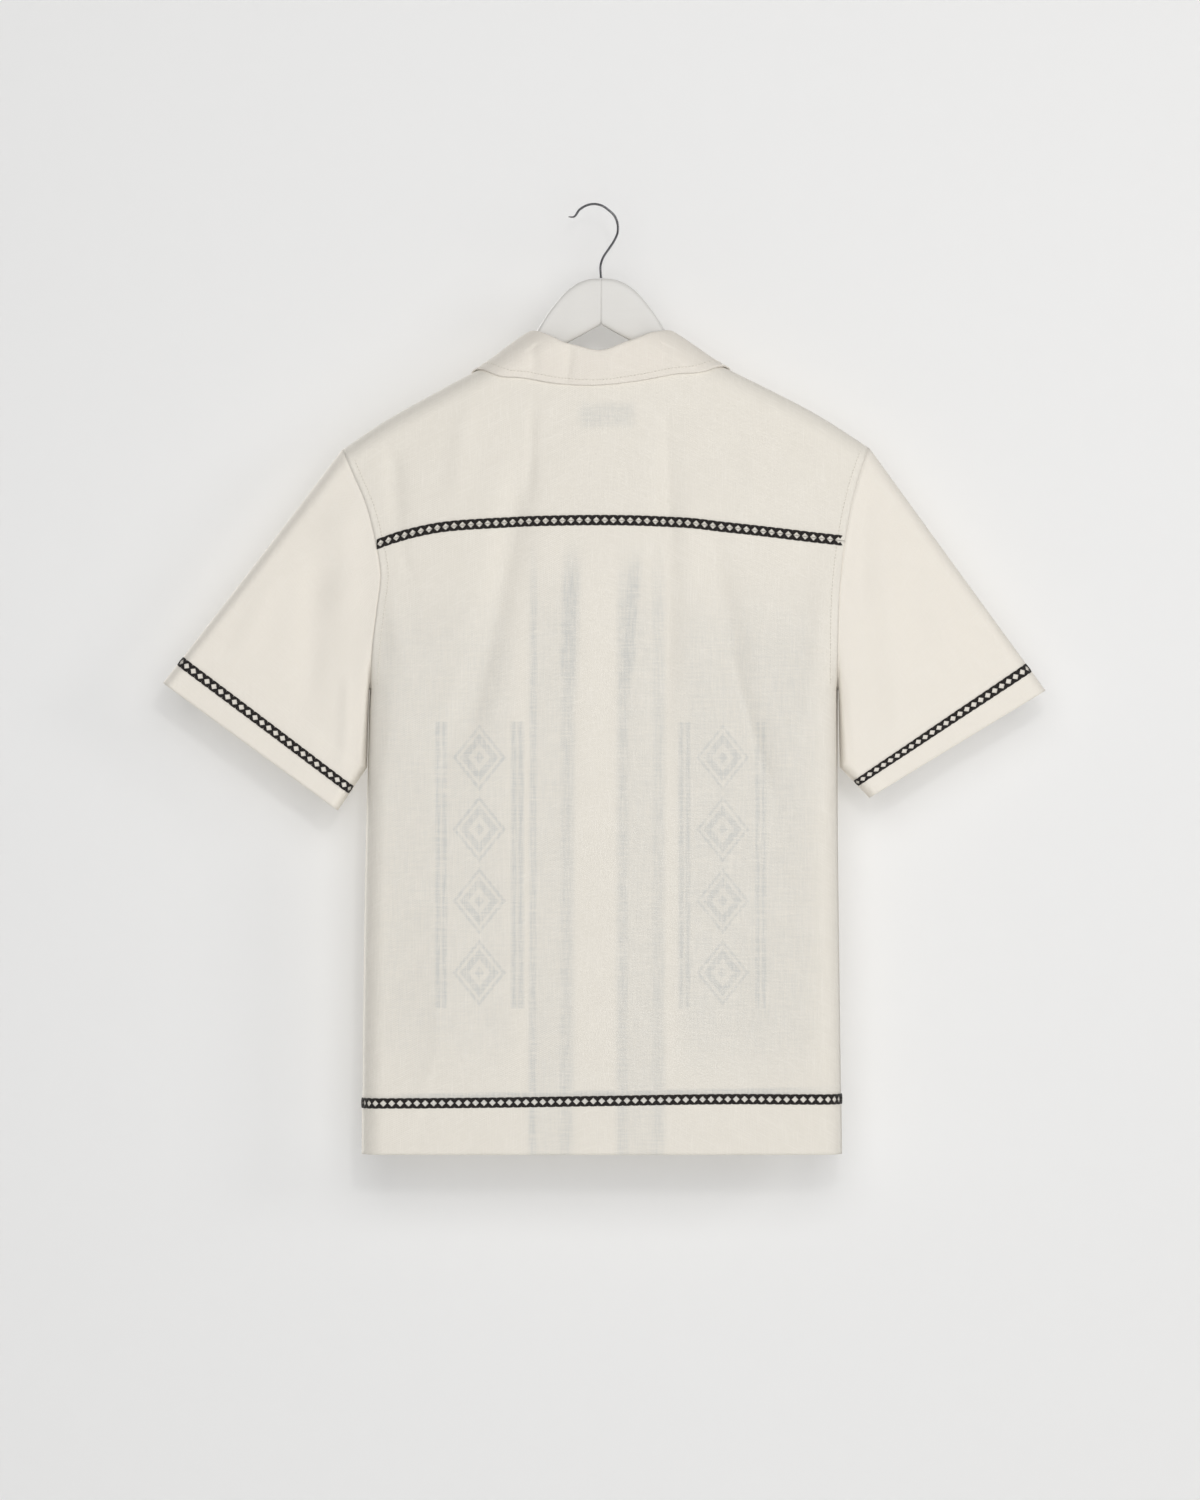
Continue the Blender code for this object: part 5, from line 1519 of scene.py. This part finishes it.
stitches("lapel_stitches", [lapel_row(-1), lapel_row(1)], cream_thread, "cream_cloth")


def shoulder_rows():
    """The yoke's front seam is topstitched just behind its edge, from the collar outward."""
    found = []
    for side in (-1, 1):
        x = side * np.linspace(0.123, 0.232, 90)
        along = np.full(len(x), -YOKE_WRAP + 0.0025)
        found.append(body_row(np.stack((x, along), 1), ON_CLOTH))
    return found


stitches("shoulder_stitches", shoulder_rows(), cream_thread, "cream_cloth")

# %% [markdown]
# ## Label, buttons and buttonholes
#
# A blank woven label is sewn inside the yoke. Five flat shell buttons close the front, each with
# a turned rim, four holes and thread through them. The holes are cut with a Boolean modifier,
# which is the plainest way to cut a round hole in a turned shape.

# %% Label inside the yoke
def make_label_material():
    """Smooth close weave, left blank."""
    finish, tree, shader = new_material("label weave")
    colour, height = add_weave(tree, (0.70, 0.68, 0.63, 1), (0.78, 0.76, 0.71, 1), 0.3, 2400.0)
    add_bump(tree, shader, height, 0.25, 0.0002)
    feed(tree, shader, {"Base Color": colour, "Roughness": 0.6})
    return finish


LABEL_X = (-0.021, 0.032)
LABEL_Z = (-0.181, -0.205)
LABEL_SOLID = 0.0010     # thickness of the label's solid
LABEL_THICKNESS = 0.0007
LABEL_RIM = 0.0015
LABEL_INSIDE = -(CLOTH / 2 + SEAM_GAP + LABEL_SOLID / 2)


def make_label():
    """The label as a small net under the yoke."""
    x, z = np.meshgrid(np.linspace(*LABEL_X, 45), np.linspace(*LABEL_Z, 22))
    places = back_at(x, z)
    net = lifted(places[..., 0], places[..., 1], np.full(x.shape, LABEL_INSIDE))
    piece = add_piece("neck_label_weave", net_mesh("neck_label_weave", [net], [places]),
                      make_label_material(), ("neck_label",))
    thicken(piece, LABEL_THICKNESS)


def label_rows():
    """Stitches along the label's four sides, on its inner face."""
    left, right = LABEL_X[0] + LABEL_RIM, LABEL_X[1] - LABEL_RIM
    top, low = LABEL_Z[0] - LABEL_RIM, LABEL_Z[1] + LABEL_RIM
    corners = np.array([(left, top), (right, top), (right, low), (left, low), (left, top)])
    found = []
    for start, stop in zip(corners, corners[1:]):
        line = between(start, stop, np.linspace(0, 1, 30))
        points, normals = body_row(back_at(line[:, 0], line[:, 1]), LABEL_INSIDE - 0.0004)
        found.append((points, -normals))
    return found


make_label()
stitches("label_stitches", label_rows(), cream_thread, "cream_cloth",
         step=0.0022, length=0.0018, radius=0.0002)

# %% Button shape and material
BUTTON_HEIGHTS = [-0.345 - i * 0.108 for i in range(5)]
# Radius and height, from the middle of the top to the middle of the foot
BUTTON_OUTLINE = [(0, 0.0017), (0.0030, 0.0017), (0.0037, 0.0018), (0.0041, 0.0024),
                  (0.0045, 0.0026), (0.0050, 0.0026), (0.0054, 0.0023), (0.0056, 0.0015),
                  (0.0053, 0.0007), (0.0046, 0.0001), (0.0044, 0.0), (0, 0.0)]
HOLE_RADIUS = 0.00075
HOLE_SPREAD = 0.0013


def make_shell_material():
    """Pale shell: soft cloudy bands and a gentle gloss."""
    finish, tree, shader = new_material("pale shell")
    clouds = noise(tree, stretched(tree, object_place(tree), (90.0, 90.0, 260.0)), 1.0, 4.0, 0.6)
    colour = mix_colour(tree, clouds, (0.62, 0.585, 0.50, 1), (0.84, 0.82, 0.77, 1))
    feed(tree, shader, {"Base Color": colour, "Roughness": 0.28, "Coat Weight": 0.3})
    return finish


def turned(outline, segments):
    """Closed turned shape from (radius, height) rows, from the top's middle to the foot's."""
    bm = bmesh.new()
    rings = []
    for radius, height in outline:
        if radius == 0:
            rings.append([bm.verts.new((0, 0, height))] * segments)
        else:
            rings.append([bm.verts.new((radius * math.cos(math.tau * k / segments),
                                        radius * math.sin(math.tau * k / segments), height))
                          for k in range(segments)])
    for upper, lower in zip(rings, rings[1:]):
        for k in range(segments):
            n = (k + 1) % segments
            corners = list(dict.fromkeys((upper[k], lower[k], lower[n], upper[n])))
            bm.faces.new(corners)
    bmesh.ops.recalc_face_normals(bm, faces=bm.faces)
    return bm


def cut_holes(mesh):
    """Cuts the four thread holes through a button's mesh."""
    body = bpy.data.objects.new("button blank", mesh)
    bpy.context.scene.collection.objects.link(body)
    bm = bmesh.new()
    for x in (-HOLE_SPREAD, HOLE_SPREAD):
        for y in (-HOLE_SPREAD, HOLE_SPREAD):
            made = bmesh.ops.create_cone(bm, cap_ends=True, segments=14, radius1=HOLE_RADIUS,
                                         radius2=HOLE_RADIUS, depth=0.01)
            bmesh.ops.translate(bm, verts=made["verts"], vec=(x, y, 0))
    drill_mesh = bpy.data.meshes.new("drill")
    bm.to_mesh(drill_mesh)
    bm.free()
    drill = bpy.data.objects.new("drill", drill_mesh)
    bpy.context.scene.collection.objects.link(drill)
    cut = body.modifiers.new("Holes", "BOOLEAN")
    cut.operation = "DIFFERENCE"
    cut.object = drill
    cut.solver = "EXACT"
    deps = bpy.context.evaluated_depsgraph_get()
    deps.update()
    result = bpy.data.meshes.new_from_object(body.evaluated_get(deps))
    for spare in (body, drill):
        bpy.data.objects.remove(spare, do_unlink=True)
    return result


shell = make_shell_material()
blank = turned(BUTTON_OUTLINE, 40)
button_mesh = bpy.data.meshes.new("button")
blank.to_mesh(button_mesh)
blank.free()
button_mesh = cut_holes(button_mesh)
button_mesh.shade_smooth()
button_mesh.set_sharp_from_angle(angle=math.radians(40))
print("button:", len(button_mesh.polygons), "faces")

# %% Buttons, their thread and their buttonholes
BUTTONHOLE_HALF = 0.0085
BUTTONHOLE_SLIT = 0.0009


def button_place(z):
    """Where a button sits: its turning matrix, pointing away from the cloth."""
    base = Vector(front_point(-1, 0.0, z))
    place = front_at(0.0, z)
    normal = Vector(outward(place[0], place[1]))
    matrix = normal.to_track_quat("Z", "Y").to_matrix().to_4x4()
    matrix.translation = base + normal * (CLOTH / 2 + SEAM_GAP)
    return matrix


def thread_cross():
    """Two bars of thread over the button, from hole to hole."""
    bars = []
    for sign in (-1, 1):
        for lift, off in ((0.0, -0.00022), (0.0, 0.00022), (0.00018, 0.0)):
            ways = np.linspace(-1, 1, 9)
            points = np.stack((ways * HOLE_SPREAD, sign * ways * HOLE_SPREAD + off,
                               0.0015 + lift + 0.0007 * (1 - ways ** 4)), 1)
            bars.append(points)
    return bars


def cross_rows(middle):
    """Rows of thread for the button at a height."""
    matrix = button_place(middle)
    normal = np.array(matrix.to_3x3() @ Vector((0, 0, 1)))
    return [(np.array([matrix @ Vector(point) for point in bar]), np.tile(normal, (len(bar), 1)))
            for bar in thread_cross()]


def buttonhole_rows(middle):
    """Two close rows of thread along the buttonhole's slit."""
    z = np.linspace(middle + BUTTONHOLE_HALF, middle - BUTTONHOLE_HALF, 40)
    return [body_row(front_at(np.full(len(z), x), z), ON_CLOTH + STAND_LIFT)
            for x in (-BUTTONHOLE_SLIT, BUTTONHOLE_SLIT)]


for i, middle in enumerate(BUTTON_HEIGHTS, 1):
    mesh = button_mesh.copy()
    mesh.transform(button_place(middle))
    add_piece(f"button_{i}_shell", mesh, shell, (f"button_{i}",))

stitches("button_threads", [row for middle in BUTTON_HEIGHTS for row in cross_rows(middle)],
         cream_thread, "cream_cloth", step=0.0039, length=0.0038, radius=0.0002)
stitches("buttonholes", [row for middle in BUTTON_HEIGHTS for row in buttonhole_rows(middle)],
         cream_thread, "cream_cloth", step=0.0007, length=0.0011, radius=0.0003)

# %% [markdown]
# ## Hanger and hook
#
# The hanger is two shaped halves of wood that meet at a thin joint in the middle, under thick
# satin white paint. Its neck rises like a bell and its arms swell towards the shoulders. Each
# half is lofted through rounded sections. The hook is one bent wire with a bright finish, whose
# reflections are painted into its colour.

# %% Hanger
HANGER = [
    # x from the middle, top, underside, half of the thickness
    (0.00015, -0.0660, -0.1085, 0.0065), (0.0130, -0.0672, -0.1158, 0.0066),
    (0.0235, -0.0716, -0.1215, 0.0068), (0.0330, -0.0788, -0.1268, 0.0070),
    (0.0415, -0.0885, -0.1316, 0.0073), (0.0485, -0.0978, -0.1356, 0.0076),
    (0.0555, -0.1082, -0.1396, 0.0080), (0.0600, -0.1152, -0.1420, 0.0083),
    (0.0650, -0.1238, -0.1448, 0.0086), (0.0710, -0.1298, -0.1480, 0.0090),
    (0.0800, -0.1352, -0.1530, 0.0096),
]
HANGER_ARM_END = 0.218
HANGER_ARM_HEIGHT_ROOT = 0.0205
HANGER_ARM_HEIGHT_END = 0.0260
HANGER_HALF_END = 0.0140
HANGER_REST = 0.0014     # how far the arms lie below the ridge
HANGER_ROUND = 0.011     # length of an arm's rounded end
BELL_END = 0.05          # up to this x the hanger is a flat bell, beyond it a round arm
BELL_SQUARE = 0.30
JOINT_BEVEL = 0.05
JOINT_REACH = 0.0005


def make_paint_material():
    """Satin white paint over wood: faint brush waves and a little grain below it."""
    finish, tree, shader = new_material("satin white paint")
    place = object_place(tree)
    grain = noise(tree, stretched(tree, place, (14.0, 160.0, 160.0)), 1.0, 4.0, 0.55)
    wear = noise(tree, place, 45.0, 3.0, 0.6)
    tone = math_node(tree, "MULTIPLY_ADD", grain, 0.5, times(tree, wear, 0.5))
    colour = mix_colour(tree, tone, (0.625, 0.612, 0.584, 1), (0.680, 0.670, 0.644, 1))
    feed(tree, shader, {"Base Color": colour,
                        "Roughness": math_node(tree, "MULTIPLY_ADD", wear, 0.2, 0.3)})
    add_bump(tree, shader, grain, 0.15, 0.0004)
    return finish


def hanger_sections(side):
    """Sections of one half: x, top, underside and half thickness, finely spaced."""
    root = HANGER[-1]
    x = np.linspace(root[0], HANGER_ARM_END, 9)[1:]
    t = (x - root[0]) / (HANGER_ARM_END - root[0])
    top = ridge(side * x) - HANGER_REST
    height = mix(HANGER_ARM_HEIGHT_ROOT, HANGER_ARM_HEIGHT_END, t)
    arms = np.column_stack((x, top, top - height, mix(root[3], HANGER_HALF_END, t)))
    table = np.concatenate((np.array(HANGER), arms))
    tracks = [smooth(list(zip(table[:, 0], table[:, k]))) for k in (1, 2, 3)]
    fine = np.concatenate((HANGER[0][0] + np.array((0, 0.0003, 0.0006, 0.0010, 0.0016)),
                           np.linspace(0.0030, 0.085, 40), np.linspace(0.087, HANGER_ARM_END, 40)))
    return np.column_stack((fine, *[track(fine) for track in tracks]))


def make_hanger_half(node, side, finish):
    """One painted half with a rounded end and a small bevel at the joint."""
    around = 48
    turn = math.tau * np.arange(around) / around
    c, s = np.cos(turn), np.sin(turn)
    rings = []
    for x, top, under, half in hanger_sections(side):
        share = np.clip((HANGER_ARM_END - x) / HANGER_ROUND, 0.0, 1.0)
        end = max(float(np.sqrt(share * (2 - share))), 0.35)
        joint = 1 - JOINT_BEVEL * math.exp(-(x / JOINT_REACH) ** 2)
        centre, reach = (top + under) / 2, (top - under) / 2 * end * joint
        lean = body_point(side * x, 0.0)[1] if x > BELL_END else FORWARD * (x / HALF_SPAN) ** 2
        square = mix(BELL_SQUARE, 1.0, float(ease((x - BELL_END) / 0.02)))
        y = lean + half * end * joint * np.copysign(np.abs(c) ** square, c)
        z = centre + reach * np.copysign(np.abs(s) ** square, s)
        rings.append(np.stack((np.full(around, side * x), y, z), 1))
    mesh = tube_mesh(node, np.array(rings))
    mesh.set_sharp_from_angle(angle=math.radians(50))
    print(f"{node}: {len(mesh.polygons)} faces")
    return add_piece(f"{node}_wood", mesh, finish, (node,))


paint = make_paint_material()
make_hanger_half("hanger_left", -1, paint)
make_hanger_half("hanger_right", 1, paint)

# %% Hook
HOOK_WIRE = 0.0012  # radius of the wire
HOOK_STEPS = 120
HOOK_SIDES = 16
HOOK_POINTS = [(-0.0300, -0.0090), (-0.0255, -0.0092), (-0.0195, -0.0022), (-0.0130, 0.0016),
               (-0.0060, 0.0028), (0.0000, 0.0016), (0.0070, -0.0028), (0.0126, -0.0085),
               (0.0154, -0.0160), (0.0152, -0.0240), (0.0122, -0.0310), (0.0070, -0.0390),
               (0.0022, -0.0462), (0.0000, -0.0520), (0.0000, -0.0656)]


def make_steel_material():
    """Bright bent wire with faint draw lines; its reflections are painted into its colour,
    dark where it faces the view and bright at its rims.
    """
    finish, tree, shader = new_material("bright wire")
    draw = noise(tree, stretched(tree, object_place(tree), (500.0, 500.0, 60.0)), 1.0, 2.0, 0.5)
    # Painted reflection: dark where the wire faces the view, turning bright towards its rims
    dark = mix_colour(tree, draw, (0.030, 0.030, 0.034, 1), (0.070, 0.070, 0.075, 1))
    painted_reflection_share = add_node(tree, "ShaderNodeLayerWeight", {"Blend": 0.55}).outputs["Facing"]
    feed(tree, shader, {"Base Color": mix_colour(tree, painted_reflection_share, dark, (0.78, 0.78, 0.80, 1)),
                        "Roughness": math_node(tree, "MULTIPLY_ADD", draw, 0.10, 0.06),
                        "Metallic": 1.0})
    return finish


def make_hook():
    """The hook's wire as a tube round a smooth line."""
    path = np.array(HOOK_POINTS)
    ways = ways_along(path)
    spots = np.linspace(0, ways[-1], HOOK_STEPS)
    x, z = (smooth(list(zip(ways, path[:, k])))(spots) for k in (0, 1))
    centre = np.stack((x, np.zeros_like(x), z), 1)
    forward = unit(np.gradient(centre, axis=0))
    aside = np.array((0.0, 1.0, 0.0))
    upward = np.cross(forward, aside)
    # The wire's free end is rounded over its first few steps
    radius = HOOK_WIRE * np.sqrt(np.clip(np.linspace(0.02, 1.3, HOOK_STEPS) * 8, 0, 1))
    turn = math.tau * np.arange(HOOK_SIDES) / HOOK_SIDES
    net = (centre[:, None] + radius[:, None, None] * (
        np.cos(turn)[None, :, None] * aside + np.sin(turn)[None, :, None] * upward[:, None]))
    return add_piece("hook_wire", tube_mesh("hook", net), make_steel_material(),
                     ("hook",))


make_hook()

# %% [markdown]
# ## Stage, light and camera
#
# The shirt hangs just in front of a pale wall. A wide soft light stands before it, a small key
# light above draws the hook's thin shadow on the wall, and a side light brings out the folds. A
# back light and the faint glow of wall and floor keep the other side bright. The wall has a
# front face only and casts no shadow, so the shirt can be looked at from behind it too. The
# camera stands eight metres away with a long lens, so the view is nearly free of perspective.

# %% Wall and floor
WALL_Y = 0.072
WALL_GLOW = 0.09
FLOOR_GLOW = 0.24
FLOOR_Z = -1.45
ROOM = 6           # half the width of wall and floor
WALL_TOP = 4
WALL_PAINT = (0.735, 0.735, 0.733, 1)
FLOOR_PAINT = (0.50, 0.50, 0.495, 1)


def make_stage_material(name, colour, glow, one_sided=False):
    """Matt pale paint with a faint glow; one_sided makes the reverse of a wall clear."""
    finish, tree, shader = new_material(name)
    darker = tuple(0.985 * c for c in colour[:3]) + (1,)
    tone = mix_colour(tree, noise(tree, object_place(tree), 1.2, 2.0, 0.5), colour, darker)
    feed(tree, shader, {"Base Color": tone, "Roughness": 0.95,
                        "Emission Color": (1.0, 1.0, 1.0, 1), "Emission Strength": glow})
    if one_sided:
        behind_it = tree.nodes.new("ShaderNodeNewGeometry").outputs["Backfacing"]
        clear = tree.nodes.new("ShaderNodeBsdfTransparent").outputs[0]
        either = add_node(tree, "ShaderNodeMixShader", {0: behind_it, 1: shader.outputs[0], 2: clear})
        feed(tree, tree.nodes["Material Output"], {"Surface": either.outputs[0]})
    return finish


def make_stage(name, corners, finish):
    """A flat stage piece from four corners."""
    mesh = bpy.data.meshes.new(name)
    mesh.from_pydata(corners, [], [(0, 1, 2, 3)])
    mesh.materials.append(finish)
    plane = bpy.data.objects.new(name, mesh)
    bpy.context.scene.collection.objects.link(plane)
    return plane


wall = make_stage("wall", [(-ROOM, WALL_Y, FLOOR_Z), (ROOM, WALL_Y, FLOOR_Z),
                           (ROOM, WALL_Y, WALL_TOP), (-ROOM, WALL_Y, WALL_TOP)],
                  make_stage_material("wall paint", WALL_PAINT, WALL_GLOW, True))
wall.visible_shadow = False
make_stage("floor", [(-ROOM, -ROOM, FLOOR_Z), (ROOM, -ROOM, FLOOR_Z),
                     (ROOM, ROOM, FLOOR_Z), (-ROOM, ROOM, FLOOR_Z)],
           make_stage_material("floor paint", FLOOR_PAINT, FLOOR_GLOW))
print("wall normal:", tuple(wall.data.polygons[0].normal))

# %% Light
LIGHT_AIM = (0, 0, -0.5)
LIGHTS = [
    # name, place, size, power, colour
    ("softbox", (0.16, -3.4, 0.30), 2.9, 71.5, (1.0, 0.992, 0.985)),
    ("key light", (0.34, -3.5, 0.52), 0.30, 9.5, (1.0, 0.985, 0.97)),
    ("side light", (2.8, -2.0, 0.3), 1.0, 17.0, (1.0, 0.985, 0.97)),
    ("back light", (-1.6, 2.7, 0.8), 1.8, 70.0, (1.0, 0.99, 0.97)),
]
SKY_COLOUR = (0.93, 0.945, 0.96, 1)
SKY_LIGHT = 0.22
SKY_SEEN = 0.60    # added where the camera sees the sky itself


def add_area(name, place, size, power, colour):
    """A square soft light that faces the shirt's middle."""
    lamp = bpy.data.lights.new(name, "AREA")
    lamp.shape = "SQUARE"
    lamp.size = size
    lamp.energy = power
    lamp.color = colour
    holder = bpy.data.objects.new(name, lamp)
    holder.location = place
    way = Vector(LIGHT_AIM) - Vector(place)
    holder.rotation_euler = way.to_track_quat("-Z", "Y").to_euler()
    bpy.context.scene.collection.objects.link(holder)
    return holder


for row in LIGHTS:
    add_area(*row)
world = bpy.data.worlds.new("room")
bpy.context.scene.world = world
world.use_nodes = True
sky = world.node_tree
seen = sky.nodes.new("ShaderNodeLightPath").outputs["Is Camera Ray"]
strength = math_node(sky, "MULTIPLY_ADD", seen, SKY_SEEN, SKY_LIGHT)
feed(sky, sky.nodes["Background"], {"Color": SKY_COLOUR, "Strength": strength})
bpy.context.scene.view_settings.view_transform = "Standard"

# %% Camera
CAMERA_DISTANCE = 8.0
VIEW_HEIGHT = 1.38
VIEW_MIDDLE = (-0.0009, -0.5011)  # x and z in the middle of the picture
SENSOR = 36.0
camera_data = bpy.data.cameras.new("camera")
camera_data.sensor_width = SENSOR
camera_data.lens = SENSOR * CAMERA_DISTANCE / VIEW_HEIGHT
camera = bpy.data.objects.new("camera", camera_data)
camera.location = (VIEW_MIDDLE[0], -BODY_DEPTH - CAMERA_DISTANCE, VIEW_MIDDLE[1])
camera.rotation_euler = (QUARTER, 0, 0)
bpy.context.scene.collection.objects.link(camera)
bpy.context.scene.camera = camera
print("lens:", round(camera_data.lens, 1), "mm")

# %% Count the pieces and finish
print("pieces:", len(visual_pieces))
